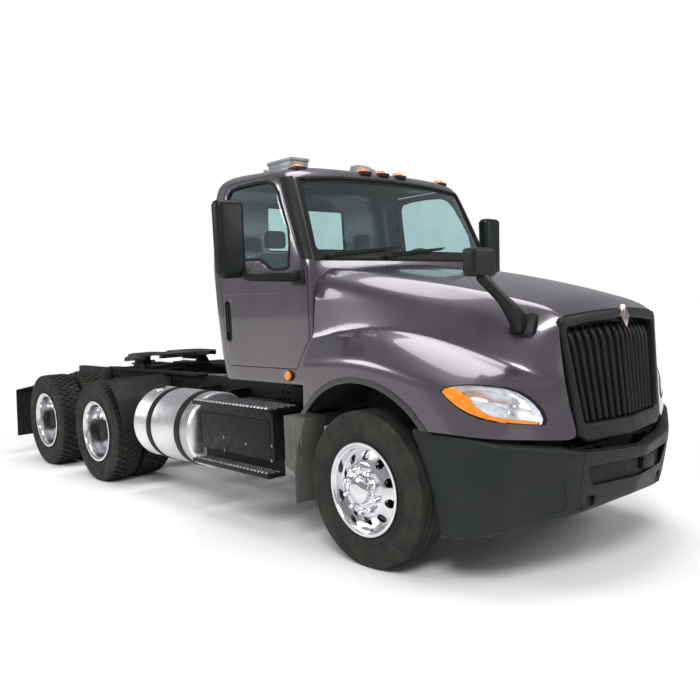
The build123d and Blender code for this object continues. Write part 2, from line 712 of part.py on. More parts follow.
wheel_centre = (500, axle_f + 1075, 1960)
tilt = 35
wheel_plane = Plane(wheel_centre, x_dir=(1, 0, 0), z_dir=(0, cos(radians(tilt)), sin(radians(tilt))))
with BuildPart() as steering:
    with BuildSketch(Plane(wheel_centre, x_dir=(1, 0, 0), z_dir=(0, -sin(radians(tilt)), cos(radians(tilt))))):
        with Locations((225, 0)):
            Circle(15)
    revolve(axis=Axis(wheel_centre, wheel_plane.z_dir))
    with BuildSketch(wheel_plane.offset(-8)):
        Rectangle(440, 34)
        Rectangle(34, 220, align=(Align.CENTER, Align.MAX))
        Circle(60)
    extrude(amount=16)
save([steering.part], "steering_wheel")
with BuildPart() as column:
    with BuildSketch(wheel_plane.offset(-8 - clearance)):
        Circle(30)
    extrude(amount=-140)
save([(dash.part & cab_inner) + column.part], "dashboard")

# ------------------------------------------------------------- roof fittings
lamp_spots = [(-800, 930, 2722), (-198, 840, 2738), (0, 832, 2742), (198, 840, 2738), (800, 930, 2722)]
lamp_solids = []
for x, y, z in lamp_spots:
    lamp_solids.append(box_between(x - 40, x + 40, y - 22, y + 60, z - 24, z + 16) - cab_outer)
for s in sides:
    lamp_solids.append(box_between(s * 1020, s * 1062, 835, 905, 1175, 1222) - cab_outer)
save(lamp_solids, "marker_lamps")
vent = box_between(-800, -590, 1000, 1410, 2680, 2830) - cab_outer
pod = prism_x([(1000, 2740), (1030, 2815), (1120, 2850), (1200, 2850), (1230, 2740)], -70, 70) - cab_outer
save([vent, pod], "roof_fittings")
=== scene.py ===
import bpy
import math
from mathutils import Matrix, Vector


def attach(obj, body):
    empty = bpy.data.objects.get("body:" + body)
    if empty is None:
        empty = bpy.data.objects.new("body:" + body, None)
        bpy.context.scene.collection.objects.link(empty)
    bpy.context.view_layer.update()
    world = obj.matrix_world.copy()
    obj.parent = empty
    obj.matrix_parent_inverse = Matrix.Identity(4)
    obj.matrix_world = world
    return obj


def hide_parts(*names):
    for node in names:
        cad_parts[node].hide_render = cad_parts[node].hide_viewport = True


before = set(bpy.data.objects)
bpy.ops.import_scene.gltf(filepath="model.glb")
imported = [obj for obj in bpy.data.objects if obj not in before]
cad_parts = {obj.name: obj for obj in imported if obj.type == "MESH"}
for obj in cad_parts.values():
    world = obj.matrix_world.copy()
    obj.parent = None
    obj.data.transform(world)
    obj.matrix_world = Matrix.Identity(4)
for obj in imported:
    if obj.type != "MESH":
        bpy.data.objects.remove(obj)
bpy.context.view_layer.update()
axleY = -2.4325    # front axle line in the frame; lengths below count rearward from it
sides = (-1, 1)
sideName = {-1: "right", 1: "left"}


# camera, floor and light

cameraShape = {    # turns in degrees, place in metres
    "yaw": 42.17, "pitch": -3.81, "roll": -2.20, "place": (-4.464, -6.0105, 1.712),
    "sensor": 36, "lens": 39.51, "shift": (-0.0003, 0.0056),
}
floorShape = {    # plain and shadowed under the truck, white beyond the fade
    "radius": 60, "colour": (0.93, 0.93, 0.93, 1),
    "middle": (0, 0.02, 0), "fadeScale": (0.30, 0.16, 0), "fadeFrom": 0.55, "fadeTo": 1.05,
}
worldShape = {"colour": (0.93, 0.96, 1.0, 1), "strength": 0.33}
studioLamps = [    # name, place, size, watts, aimed at
    ("keyLamp", (-7.5, -8.5, 9.5), 5.0, 900, (0, -1.2, 1.2)),
    ("topLamp", (0.5, -1.0, 10.5), 7.0, 620, (0, -0.5, 1.0)),
    ("rearLamp", (-9.0, 5.5, 6.5), 5.0, 480, (0, 1.0, 1.2)),
    ("noseLamp", (5.5, -9.5, 5.5), 4.0, 300, (0.2, -3.0, 1.2)),
]


def makeCamera():
    shape = cameraShape
    yaw, pitch, roll = (math.radians(shape[turn]) for turn in ("yaw", "pitch", "roll"))
    ahead = Vector((math.sin(yaw) * math.cos(pitch), math.cos(yaw) * math.cos(pitch), math.sin(pitch)))
    right = Vector((math.cos(yaw), -math.sin(yaw), 0))
    up = right.cross(ahead)
    turnedRight = right * math.cos(roll) + up * math.sin(roll)
    turnedUp = up * math.cos(roll) - right * math.sin(roll)
    bpy.ops.object.camera_add()
    camera = bpy.context.object
    camera.name = "mainCamera"
    axes = Matrix((turnedRight, turnedUp, -ahead)).transposed()
    camera.matrix_world = Matrix.Translation(shape["place"]) @ axes.to_4x4()
    camera.data.sensor_width = shape["sensor"]
    camera.data.lens = shape["lens"]
    camera.data.shift_x, camera.data.shift_y = shape["shift"]
    bpy.context.scene.camera = camera


def setInputs(node, values):
    for name, value in values.items():
        node.inputs[name].default_value = value


def addNode(tree, kind, values=None, **settings):
    node = tree.nodes.new("ShaderNode" + kind)
    for name, value in settings.items():
        setattr(node, name, value)
    setInputs(node, values or {})
    return node


def wire(tree, *pairs):
    for source, target in pairs:
        tree.links.new(source, target)


def larger(tree, first, second):
    node = addNode(tree, "Math", operation="MAXIMUM")
    wire(tree, (first, node.inputs[0]), (second, node.inputs[1]))
    return node.outputs[0]


def mixed(tree, share, first, second, output):
    mix = addNode(tree, "MixShader")
    wire(tree, (share, mix.inputs[0]), (first.outputs[0], mix.inputs[1]), (second.outputs[0], mix.inputs[2]),
         (mix.outputs[0], output.inputs["Surface"]))


def makeFloor():
    shape = floorShape
    bpy.ops.mesh.primitive_circle_add(vertices=96, radius=shape["radius"], fill_type="NGON", location=(0, 0, 0))
    floor = bpy.context.object
    floor.name = "studioFloor"
    material = bpy.data.materials.new("paleFloor")
    material.use_nodes = True
    tree = material.node_tree
    tree.nodes.clear()
    plain = addNode(tree, "BsdfDiffuse", {"Color": shape["colour"]})
    glow = addNode(tree, "Emission", {"Strength": 1.0})
    place = addNode(tree, "Mapping", {"Location": shape["middle"], "Scale": shape["fadeScale"]})
    length = addNode(tree, "VectorMath", operation="LENGTH")
    fade = addNode(tree, "MapRange", {"From Min": shape["fadeFrom"], "From Max": shape["fadeTo"]},
                   interpolation_type="SMOOTHSTEP")
    both = addNode(tree, "Math", operation="MULTIPLY")
    rays = addNode(tree, "LightPath").outputs    # camera, mirror and glass rays see white
    seen = larger(tree, larger(tree, rays["Is Camera Ray"], rays["Is Glossy Ray"]), rays["Is Transmission Ray"])
    wire(tree, (addNode(tree, "TexCoord").outputs["Object"], place.inputs["Vector"]),
         (place.outputs[0], length.inputs[0]), (length.outputs["Value"], fade.inputs["Value"]),
         (fade.outputs[0], both.inputs[0]), (seen, both.inputs[1]))
    mixed(tree, both.outputs[0], plain, glow, addNode(tree, "OutputMaterial"))
    floor.data.materials.append(material)


def makeWorld():
    world = bpy.data.worlds.new("studioWorld")
    bpy.context.scene.world = world
    world.use_nodes = True
    tree = world.node_tree
    tree.nodes.clear()
    backdrop = addNode(tree, "Background", {"Color": (1, 1, 1, 1), "Strength": 1.0})
    soft = addNode(tree, "Background", {"Color": worldShape["colour"], "Strength": worldShape["strength"]})
    rays = addNode(tree, "LightPath").outputs
    seen = larger(tree, rays["Is Camera Ray"], rays["Is Transmission Ray"])    # these see plain white
    mixed(tree, seen, soft, backdrop, addNode(tree, "OutputWorld"))


def makeLamps():
    for name, place, size, watts, target in studioLamps:
        bpy.ops.object.light_add(type="AREA", location=place)
        lamp = bpy.context.object
        lamp.name = name
        lamp.data.shape = "DISK"
        lamp.data.size = size
        lamp.data.energy = watts
        lamp.rotation_mode = "QUATERNION"
        lamp.rotation_quaternion = (Vector(target) - Vector(place)).to_track_quat("-Z", "Y")


makeCamera()
makeFloor()
makeWorld()
makeLamps()
bpy.context.scene.view_settings.view_transform = "Standard"
print("stage: camera, floor and light are set")


# finishes

finishes = {    # colour, darker colour, metal, roughness low and high, coat, bump, patch scale, bump scale
    "purpleGreyPaint": ((0.112, 0.096, 0.111), (0.094, 0.080, 0.094), 0.72, 0.26, 0.34, 1.0, 0.02, 1.6, 900),
    # the arch lip paint below is the body paint darkened evenly, a painted shade on the lip
    "shadedLipPaint": ((0.050, 0.043, 0.050), (0.042, 0.036, 0.042), 0.6, 0.34, 0.44, 0.6, 0.02, 1.6, 900),
    "guardGrey": ((0.105, 0.112, 0.097), (0.080, 0.086, 0.074), 0.0, 0.45, 0.62, 0.0, 0.15, 6, 350),
    "chassisBlack": ((0.0045, 0.0050, 0.0052), (0.0085, 0.0085, 0.0082), 0.0, 0.42, 0.62, 0.0, 0.10, 7, 160),
    "castBlack": ((0.0060, 0.0062, 0.0065), (0.0150, 0.0140, 0.0130), 0.0, 0.5, 0.75, 0.0, 0.35, 9, 260),
    "engineGrey": ((0.20, 0.21, 0.22), (0.14, 0.145, 0.15), 0.2, 0.45, 0.6, 0.0, 0.2, 5, 180),
    "tankAluminium": ((0.86, 0.86, 0.86), (0.76, 0.76, 0.77), 1.0, 0.30, 0.42, 0.0, 0.0, 3.5, 70),
    "polishedAluminium": ((0.80, 0.80, 0.81), (0.68, 0.69, 0.71), 1.0, 0.13, 0.24, 0.0, 0.0, 9, 60),
    "chrome": ((0.82, 0.82, 0.83), (0.70, 0.70, 0.72), 1.0, 0.05, 0.1, 0.0, 0.0, 8, 60),
    "bumperPlastic": ((0.0120, 0.0150, 0.0145), (0.0160, 0.0185, 0.0178), 0.0, 0.44, 0.58, 0.0, 0.22, 3, 420),
    "grillePlastic": ((0.0065, 0.0085, 0.0085), (0.0105, 0.0125, 0.0122), 0.0, 0.36, 0.52, 0.0, 0.12, 5, 500),
    "mirrorPlastic": ((0.0060, 0.0080, 0.0080), (0.0090, 0.0110, 0.0108), 0.0, 0.32, 0.44, 0.0, 0.15, 5, 600),
    "blackPlastic": ((0.0045, 0.0050, 0.0052), (0.0080, 0.0082, 0.0082), 0.0, 0.45, 0.62, 0.0, 0.15, 6, 350),
    "rubber": ((0.0045, 0.0045, 0.0045), (0.0100, 0.0098, 0.0092), 0.0, 0.62, 0.85, 0.0, 0.25, 8, 240),
    "tyreRubber": ((0.0150, 0.0150, 0.0135), (0.0330, 0.0310, 0.0260), 0.0, 0.60, 0.85, 0.0, 0.25, 6, 300),
    # the cab's inside is a dark grey, set darker still here as painted shade for the dim inside of the cab
    "shadedInteriorGrey": ((0.0110, 0.0115, 0.0125), (0.0075, 0.0078, 0.0085), 0.0, 0.5, 0.7, 0.0, 0.2, 6, 500),
    "roofBoxGrey": ((0.23, 0.24, 0.25), (0.19, 0.20, 0.21), 0.1, 0.4, 0.55, 0.2, 0.1, 6, 300),
    "lampReflector": ((0.88, 0.89, 0.91), (0.74, 0.75, 0.78), 0.85, 0.14, 0.28, 0.0, 0.0, 20, 60),
    "greasySteel": ((0.055, 0.052, 0.048), (0.020, 0.019, 0.018), 0.7, 0.28, 0.55, 0.0, 0.2, 8, 140),
    "emblemMetal": ((0.62, 0.50, 0.46), (0.50, 0.40, 0.37), 1.0, 0.14, 0.26, 0.5, 0.0, 40, 90),
    "plainSteel": ((0.30, 0.31, 0.33), (0.20, 0.21, 0.22), 1.0, 0.3, 0.5, 0.0, 0.1, 12, 200),
    "hoseGrey": ((0.13, 0.14, 0.15), (0.08, 0.085, 0.09), 0.0, 0.45, 0.65, 0.0, 0.2, 10, 260),
    "redPlastic": ((0.35, 0.012, 0.012), (0.22, 0.01, 0.01), 0.0, 0.2, 0.35, 0.5, 0.0, 20, 200),
}
clearFinishes = {"cabGlass": ((0.62, 0.76, 0.77), 0.0), "lampGlass": ((0.94, 0.95, 0.97), 0.02)}    # tint, roughness
made = {}


def newFinish(name):
    material = bpy.data.materials.new(name)
    material.use_nodes = True
    tree = material.node_tree
    return material, tree, tree.nodes["Principled BSDF"], addNode(tree, "TexCoord").outputs["Object"]


def grain(tree, coords, scale, detail, rough=0.55):
    noise = addNode(tree, "TexNoise", {"Scale": scale, "Detail": detail, "Roughness": rough})
    wire(tree, (coords, noise.inputs["Vector"]))
    return noise.outputs["Fac"]


def ribbed(tree, coords, scale, direction="X"):
    wave = addNode(tree, "TexWave", {"Scale": scale}, bands_direction=direction)
    wire(tree, (coords, wave.inputs["Vector"]))
    return wave.outputs["Fac"]


def twoColours(tree, shader, factor, first, second):
    ramp = addNode(tree, "ValToRGB")
    for element, position, colour in zip(ramp.color_ramp.elements, (0.35, 0.65), (first, second)):
        element.position = position
        element.color = (*colour, 1)
    wire(tree, (factor, ramp.inputs[0]), (ramp.outputs["Color"], shader.inputs["Base Color"]))


def uneven(tree, shader, factor, low, high):
    span = addNode(tree, "MapRange", {"From Min": 0.3, "From Max": 0.7, "To Min": low, "To Max": high})
    wire(tree, (factor, span.inputs["Value"]), (span.outputs[0], shader.inputs["Roughness"]))


def relief(tree, shader, factor, strength, distance=0.002):
    bump = addNode(tree, "Bump", {"Strength": strength, "Distance": distance})
    wire(tree, (factor, bump.inputs["Height"]), (bump.outputs[0], shader.inputs["Normal"]))


def plainFinish(name):
    colour, darker, metal, roughLow, roughHigh, coat, bump, patch, fine = finishes[name]
    material, tree, shader, coords = newFinish(name)
    twoColours(tree, shader, grain(tree, coords, patch, 6), colour, darker)
    uneven(tree, shader, grain(tree, coords, patch * 3.1, 5, 0.6), roughLow, roughHigh)
    setInputs(shader, {"Metallic": metal, "Coat Weight": coat, "Coat Roughness": 0.06})
    if metal == 0 and coat == 0:    # dull plastics and rubbers hold back the sheen
        setInputs(shader, {"Specular IOR Level": 0.24})
    if bump > 0:
        relief(tree, shader, grain(tree, coords, fine, 2), bump)
    return material


def clearFinish(name):
    # glass that lets the lamps through
    tint, roughness = clearFinishes[name]
    material, tree, shader, coords = newFinish(name)
    setInputs(shader, {"Base Color": (*tint, 1), "Transmission Weight": 1.0, "IOR": 1.45})
    uneven(tree, shader, grain(tree, coords, 5, 6, 0.65), roughness, roughness + 0.03)
    through = addNode(tree, "BsdfTransparent", {"Color": (*tint, 1)})
    shadow = addNode(tree, "LightPath").outputs["Is Shadow Ray"]
    mixed(tree, shadow, shader, through, tree.nodes["Material Output"])
    return material


def amberFinish(name):
    material, tree, shader, coords = newFinish(name)
    shade = grain(tree, coords, 30, 3)
    twoColours(tree, shader, shade, (0.95, 0.30, 0.015), (0.80, 0.20, 0.010))
    uneven(tree, shader, shade, 0.12, 0.25)
    setInputs(shader, {"Coat Weight": 0.6})
    relief(tree, shader, ribbed(tree, coords, 60, "DIAGONAL"), 0.25)
    return material


def clothFinish(name):
    material, tree, shader, coords = newFinish(name)
    twoColours(tree, shader, grain(tree, coords, 14, 5), (0.060, 0.062, 0.066), (0.036, 0.037, 0.040))
    setInputs(shader, {"Roughness": 0.92, "Sheen Weight": 0.3})
    relief(tree, shader, ribbed(tree, coords, 180), 0.35, 0.0015)
    return material


def finish(name):
    ways = {"cabGlass": clearFinish, "lampGlass": clearFinish, "amberLens": amberFinish, "seatCloth": clothFinish}
    if name not in made:
        made[name] = ways.get(name, plainFinish)(name)
    return made[name]


nodeFinishes = {
    "chassisBlack": ["frame_rails", "crossmembers", "radiator", "tank_straps", "step_boxes", "slide_rails",
                     "fifth_wheel_saddle"],
    "castBlack": ["front_axle", "rear_axles_and_shafts", "front_springs", "rear_suspension", "knuckle_right",
                  "knuckle_left"],
    "engineGrey": ["powertrain"],
    "tankAluminium": ["fuel_tanks"],
    "bumperPlastic": ["bumper"],
    "grillePlastic": ["grille"],
    "blackPlastic": ["splash_guards", "quarter_fenders"],
    "mirrorPlastic": ["mirror_right", "mirror_left", "hood_mirror"],
    "rubber": ["mud_flaps"],
    "shadedInteriorGrey": ["dashboard", "steering_wheel", "seats"],
    "purpleGreyPaint": ["hood", "cab_shell", "door_right", "door_left"],
    "greasySteel": ["fifth_wheel_plate"],
    "roofBoxGrey": ["roof_fittings"],
    "tyreRubber": [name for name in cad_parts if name.startswith("tyre")],
    "polishedAluminium": [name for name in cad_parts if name.startswith("wheel")],
    "cabGlass": ["cab_glass", "door_glass_right", "door_glass_left"],
    "lampGlass": ["headlamps"],
    "amberLens": ["marker_lamps"],
}
for finishName, nodeNames in nodeFinishes.items():
    for nodeName in nodeNames:
        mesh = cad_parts[nodeName].data
        mesh.materials.clear()
        mesh.materials.append(finish(finishName))
print("stage: finishes are on the frame")


# ways of making pieces

def clearSelection():
    if bpy.context.object and bpy.context.object.mode != "OBJECT":
        bpy.ops.object.mode_set(mode="OBJECT")
    bpy.ops.object.select_all(action="DESELECT")


def pick(*pieces):
    clearSelection()
    for piece in pieces:
        piece.select_set(True)
    bpy.context.view_layer.objects.active = pieces[0]


def openAll(piece):
    # edit mode with everything selected
    pick(piece)
    bpy.ops.object.mode_set(mode="EDIT")
    bpy.ops.mesh.select_all(action="SELECT")


def openSome(piece, wanted):
    # edit mode with only the wanted faces selected
    pick(piece)
    bpy.ops.object.mode_set(mode="EDIT")
    bpy.ops.mesh.select_mode(type="FACE")
    bpy.ops.mesh.select_all(action="DESELECT")
    bpy.ops.object.mode_set(mode="OBJECT")
    for polygon in piece.data.polygons:
        polygon.select = wanted(polygon)
    bpy.ops.object.mode_set(mode="EDIT")


def closeUp(piece=None, merge=0.0, outward=False):
    if outward:
        bpy.ops.mesh.select_all(action="SELECT")
        if merge:
            bpy.ops.mesh.remove_doubles(threshold=merge)
        bpy.ops.mesh.normals_make_consistent(inside=False)
    bpy.ops.object.mode_set(mode="OBJECT")
    return piece


def cleanNormals(piece, merge=0.00005):
    openAll(piece)
    return closeUp(piece, merge, True)


def settle(piece):
    pick(piece)
    bpy.ops.object.transform_apply(location=True, rotation=True, scale=True)


def applyModifiers(piece):
    pick(piece)
    for modifier in list(piece.modifiers):
        bpy.ops.object.modifier_apply(modifier=modifier.name)
    return piece


def addPiece(name, points, faces, edges=()):
    mesh = bpy.data.meshes.new(name)
    mesh.from_pydata(points, list(edges), faces)
    piece = bpy.data.objects.new(name, mesh)
    bpy.context.scene.collection.objects.link(piece)
    return piece


def stripFaces(count, rows, closed=False, capped=False):
    # faces between rows of count points each
    faces = []
    for row in range(rows - 1):
        for column in range(count if closed else count - 1):
            a, b = row * count + column, row * count + (column + 1) % count
            faces.append((a, b, b + count, a + count))
    if capped:
        faces += [tuple(range(count))[::-1], tuple(range((rows - 1) * count, rows * count))]
    return faces


def roundOff(piece, levels):
    skin = piece.modifiers.new("round", "SUBSURF")
    skin.levels = skin.render_levels = levels
    return applyModifiers(piece)


def softenEdges(piece, width, steps=2, angle=30):
    if width > 0:
        bevel = piece.modifiers.new("edges", "BEVEL")
        bevel.width = width
        bevel.segments = steps
        bevel.limit_method = "ANGLE"
        bevel.angle_limit = math.radians(angle)
        applyModifiers(piece)
    return piece


def smooth(piece, angle):
    pick(piece)
    bpy.ops.object.shade_smooth_by_angle(angle=math.radians(angle))


def block(name, low, high, soft=0.0, steps=2):
    # y counts from the front axle, as everywhere below
    middle = [(low[i] + high[i]) / 2 for i in range(3)]
    bpy.ops.mesh.primitive_cube_add(size=1, location=(middle[0], middle[1] + axleY, middle[2]))
    piece = bpy.context.object
    piece.name = name
    piece.scale = [abs(high[i] - low[i]) for i in range(3)]
    settle(piece)
    return softenEdges(piece, soft, steps)


def placePoint(axis, a, b, depth):
    # a point of a side, front or top outline
    if axis == "X":
        return (depth, axleY + a, b)
    if axis == "Y":
        return (a, axleY + depth, b)
    return (a, axleY + b, depth)


def prism(name, outline, axis, near, far, soft=0.0, steps=2):
    points = [placePoint(axis, a, b, near) for a, b in outline]
    piece = addPiece(name, points, [list(range(len(points)))])
    push = [0, 0, 0]
    push["XYZ".index(axis)] = far - near
    openAll(piece)
    bpy.ops.mesh.extrude_region_move(TRANSFORM_OT_translate={"value": push})
    closeUp(outward=True)
    return softenEdges(piece, soft, steps)


def rod(name, radius, start, end, soft=0.0, vertices=32, tip=None):
    a = Vector((start[0], axleY + start[1], start[2]))
    b = Vector((end[0], axleY + end[1], end[2]))
    bpy.ops.mesh.primitive_cone_add(
        vertices=vertices, radius1=radius, radius2=radius if tip is None else tip,
        depth=(b - a).length, location=(a + b) / 2)
    piece = bpy.context.object
    piece.name = name
    piece.rotation_mode = "QUATERNION"
    piece.rotation_quaternion = (b - a).to_track_quat("Z", "Y")
    settle(piece)
    return softenEdges(piece, soft, 2, 40)


def pipe(name, points, radius):
    # a rigid bent tube
    curve = bpy.data.curves.new(name, "CURVE")
    curve.dimensions = "3D"
    curve.bevel_depth = radius
    curve.bevel_resolution = 2
    curve.use_fill_caps = True
    curve.resolution_u = 6
    line = curve.splines.new("NURBS")
    line.points.add(len(points) - 1)
    for i, (x, y, z) in enumerate(points):
        line.points[i].co = (x, axleY + y, z, 1)
    line.use_endpoint_u = True
    line.order_u = 3
    piece = bpy.data.objects.new(name, curve)
    bpy.context.scene.collection.objects.link(piece)
    pick(piece)
    bpy.ops.object.convert(target="MESH")
    smooth(bpy.context.object, 50)
    return bpy.context.object


def turned(name, profile, x, y, z, steps):
    # (radius, offset) points spun about a line along X
    points = [(x + offset, axleY + y, z + radius) for radius, offset in profile]
    edges = [(i, (i + 1) % len(points)) for i in range(len(points))]
    piece = addPiece(name, points, [], edges)
    openAll(piece)
    bpy.ops.mesh.spin(steps=steps, angle=2 * math.pi, center=(x, axleY + y, z), axis=(1, 0, 0))
    return closeUp(piece, 0.0001, True)


def cut(piece, cutter, way="DIFFERENCE"):
    pick(piece)
    blade = piece.modifiers.new("cut", "BOOLEAN")
    blade.operation = way
    blade.solver = "EXACT"
    blade.object = cutter
    bpy.ops.object.modifier_apply(modifier=blade.name)
    bpy.data.objects.remove(cutter)
    return piece


def keepIn(piece, mould):
    return cut(piece, mould, "INTERSECT")


def copyOf(piece, name, change=None):
    twin = piece.copy()
    twin.data = piece.data.copy()
    twin.name = name
    bpy.context.scene.collection.objects.link(twin)
    if change is not None:
        twin.data.transform(change)
        if change.determinant() < 0:
            twin.data.flip_normals()
    return twin


def shift(x=0.0, y=0.0, z=0.0):
    return Matrix.Translation((x, y, z))


acrossX = Matrix.Diagonal((-1, 1, 1, 1))


def turnAboutX(angle, y, z):
    return shift(0, axleY + y, z) @ Matrix.Rotation(angle, 4, "X") @ shift(0, -(axleY + y), -z)


def joined(name, pieces):
    pick(*pieces)
    if len(pieces) > 1:
        bpy.ops.object.join()
    piece = bpy.context.object
    piece.name = name
    return piece


def ready(piece, finishName, body="chassis", replaced=(), angle=30):
    piece.data.materials.clear()
    piece.data.materials.append(finish(finishName))
    smooth(piece, angle)
    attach(piece, body)
    if replaced:
        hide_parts(*replaced)
    return piece


def otherHalf(piece, levels=0, clip=False):
    # mirror image across the middle, then a smooth skin where levels are given
    twin = piece.modifiers.new("otherHalf", "MIRROR")
    twin.use_axis[0] = True
    if clip:
        twin.use_clip = True
    else:
        twin.merge_threshold = 0.0005
    return roundOff(piece, levels) if levels else applyModifiers(piece)


def cage(name, rows, creases=(), levels=3):
    # a smooth skin over rows of points, and its mirror image; creases are (column, weight)
    count = len(rows[0])
    points = [(x, axleY + y, z) for row in rows for x, y, z in row]
    piece = addPiece(name, points, stripFaces(count, len(rows)))
    weights = dict(creases)
    if weights:
        attribute = piece.data.attributes.new("crease_edge", "FLOAT", "EDGE")
        for edge in piece.data.edges:
            a, b = sorted(edge.vertices)
            if b - a == count and a % count in weights:
                attribute.data[edge.index].value = weights[a % count]
    return cleanNormals(otherHalf(piece, levels))


def thicken(piece, thickness, offset=-1):
    wall = piece.modifiers.new("wall", "SOLIDIFY")
    wall.thickness = thickness
    wall.offset = offset
    wall.use_even_offset = False
    return applyModifiers(piece)


# hood

hoodShape = {
    "wall": 0.014,
    "archRadius": 0.70, "archY": 0.035, "archZ": 0.50,
    "rows": [    # y, then (x, z): crown, crown edge, shoulder, side foot, fender top, fender side, lower edge
        (0.815, (0, 2.036), (0.866, 1.992), (1.006, 1.925), (1.046, 1.470),
            (1.066, 1.420), (1.120, 1.290), (1.130, 0.960)),
        (0.600, (0, 2.010), (0.842, 1.967), (0.990, 1.897), (1.040, 1.475),
            (1.066, 1.432), (1.138, 1.312), (1.150, 0.955)),
        (0.300, (0, 1.967), (0.792, 1.921), (0.946, 1.833), (1.000, 1.525),
            (1.064, 1.474), (1.160, 1.334), (1.172, 0.950)),
        (0.000, (0, 1.917), (0.732, 1.871), (0.882, 1.768), (0.952, 1.540),
            (1.048, 1.492), (1.164, 1.344), (1.178, 0.945)),
        (-0.300, (0, 1.860), (0.674, 1.815), (0.812, 1.693), (0.892, 1.494),
            (1.018, 1.449), (1.154, 1.294), (1.168, 0.943)),
        (-0.600, (0, 1.794), (0.617, 1.751), (0.744, 1.613), (0.828, 1.404),
            (0.968, 1.366), (1.124, 1.209), (1.142, 0.942)),
        (-0.880, (0, 1.733), (0.570, 1.680), (0.687, 1.543), (0.758, 1.303),
            (0.892, 1.271), (1.052, 1.128), (1.080, 0.922)),
        (-1.000, (0, 1.701), (0.554, 1.643), (0.646, 1.508), (0.692, 1.247),
            (0.802, 1.220), (0.897, 1.087), (0.927, 0.905)),
    ],
    "noseEdge": [(0, -1.170, 1.620), (0.285, -1.134, 1.613), (0.535, -1.094, 1.588), (0.572, -1.086, 1.535),
        (0.566, -1.100, 1.380), (0.556, -1.112, 1.220), (0.550, -1.118, 1.180), (0.540, -1.128, 1.080),
        (0.522, -1.148, 0.960), (0.506, -1.172, 0.858)],
    "creases": [(2, 0.55), (3, 0.12), (5, 0.35), (7, 0.45)],    # column of the rows above, weight
    "rearCut": [(0.60, 1.35), (0.65, 1.25), (0.75, 1.105), (0.79, 0.90), (1.0, 0.8), (1.0, 1.40), (0.9, 1.38)],
    "cowlCut": [(-1.3, 0.588), (1.3, 0.588), (1.3, 1.2), (-1.3, 1.2)],
    "lipOuter": 0.738, "lipInner": 0.698, "linerRadii": (0.712, 0.699896),
}


def between(a, b, t):
    return tuple(a[i] + (b[i] - a[i]) * t for i in range(len(a)))


def hoodRows():
    rows = []
    for y, crown, edge, shoulder, foot, top, side, low in hoodShape["rows"]:
        bulge = (edge[0] * 0.55, crown[1] - (crown[1] - edge[1]) * 0.28)
        flat = [crown, bulge, edge, shoulder, between(shoulder, foot, 0.5), foot, top, side,
                between(side, low, 0.45), low]
        rows.append([(x, y, z) for x, z in flat])
    nose = hoodShape["noseEdge"]
    rows.append([between(a, b, 0.62) for a, b in zip(rows[-1], nose)])
    rows.append(nose)
    return rows[::-1]


lampOutline = [
    (-0.640, 1.180), (-0.655, 1.200), (-0.700, 1.213), (-0.780, 1.218), (-0.870, 1.210), (-0.946, 1.194),
    (-0.995, 1.168), (-1.030, 1.131), (-1.055, 1.087), (-1.070, 1.045), (-1.079, 0.997), (-1.077, 0.968),
    (-1.040, 0.979), (-0.990, 0.994), (-0.930, 1.010), (-0.870, 1.028), (-0.800, 1.058),
    (-0.733, 1.098), (-0.680, 1.140),
]


def archTool(radius, s):
    y, z = hoodShape["archY"], hoodShape["archZ"]
    return rod("archTool", radius, (s * 0.60, y, z), (s * 1.35, y, z), vertices=96)


def makeHood():
    shape = hoodShape
    skin = cage("hoodSkin", hoodRows(), shape["creases"])
    body = thicken(copyOf(skin, "hoodBody"), shape["wall"])
    for s in sides:
        cut(body, archTool(shape["archRadius"], s))
        cut(body, prism("lampHole", lampOutline, "X", s * 0.55, s * 1.30))
    cut(body, prism("rearTool", shape["rearCut"], "X", -1.3, 1.3))
    cut(body, prism("cowlTool", shape["cowlCut"], "Z", 0.8, 1.96))
    ready(body, "purpleGreyPaint", "hood", ["hood"], 28)
    for s in sides:
        # rolled edge round each wheel opening, in the body paint darkened as painted shade
        lip = thicken(copyOf(skin, "archLip_" + sideName[s]), 0.020, -0.6)
        keepIn(lip, archTool(shape["lipOuter"], s))
        cut(lip, archTool(shape["lipInner"], s))
        keepIn(lip, block("lipKeep", (s * 0.85, -0.75, 0.93), (s * 1.3, 0.62, 1.4)))
        ready(softenEdges(lip, 0.003, 2, 50), "shadedLipPaint", "hood", (), 35)
        # black liner inside the wheel opening
        angles = [math.radians(-52 + 100 * k / 24) for k in range(25)]
        outer, inner = ([(shape["archY"] + radius * math.sin(a), shape["archZ"] + radius * math.cos(a))
                         for a in angles] for radius in shape["linerRadii"])
        liner = prism("archLiner_" + sideName[s], outer + inner[::-1], "X", s * 0.60, s * 1.10)
        ready(liner, "blackPlastic", "hood")
    return skin


hoodSkin = makeHood()
print("stage: hood is made")


# headlamps

lampShape = {
    "amberInner": [(-0.700, 1.206), (-0.758, 1.178), (-0.812, 1.138), (-0.858, 1.086), (-0.905, 1.049),
        (-0.965, 1.025), (-1.000, 1.014)],
    "amberRound": [(-1.060, 0.990), (-1.060, 0.90), (-0.55, 0.90), (-0.55, 1.30), (-0.690, 1.30)],
    "frame": 0.009,
    "band": [(-0.003, -0.014), (-0.003, 0.0018), (0.004, 0.0030), (0.009, 0.0015), (0.009, -0.030)],    # inset, lift
    "bowl": [(0, 0), (0.16, 0.03825), (0.42, 0.07225)],    # share of the way to the middle, depth
    "bulbs": [(0.860, -0.830, 1.130, 0.030), (0.800, -0.930, 1.075, 0.026)],    # x, y, z, radius
    "bulbTurn": 49,
}


def outlineShrunk(outline, amount):
    count = len(outline)
    middle = (sum(p[0] for p in outline) / count, sum(p[1] for p in outline) / count)
    shrunk = []
    for a, b in outline:
        share = 1 - amount / math.hypot(a - middle[0], b - middle[1])
        shrunk.append((middle[0] + (a - middle[0]) * share, middle[1] + (b - middle[1]) * share))
    return shrunk


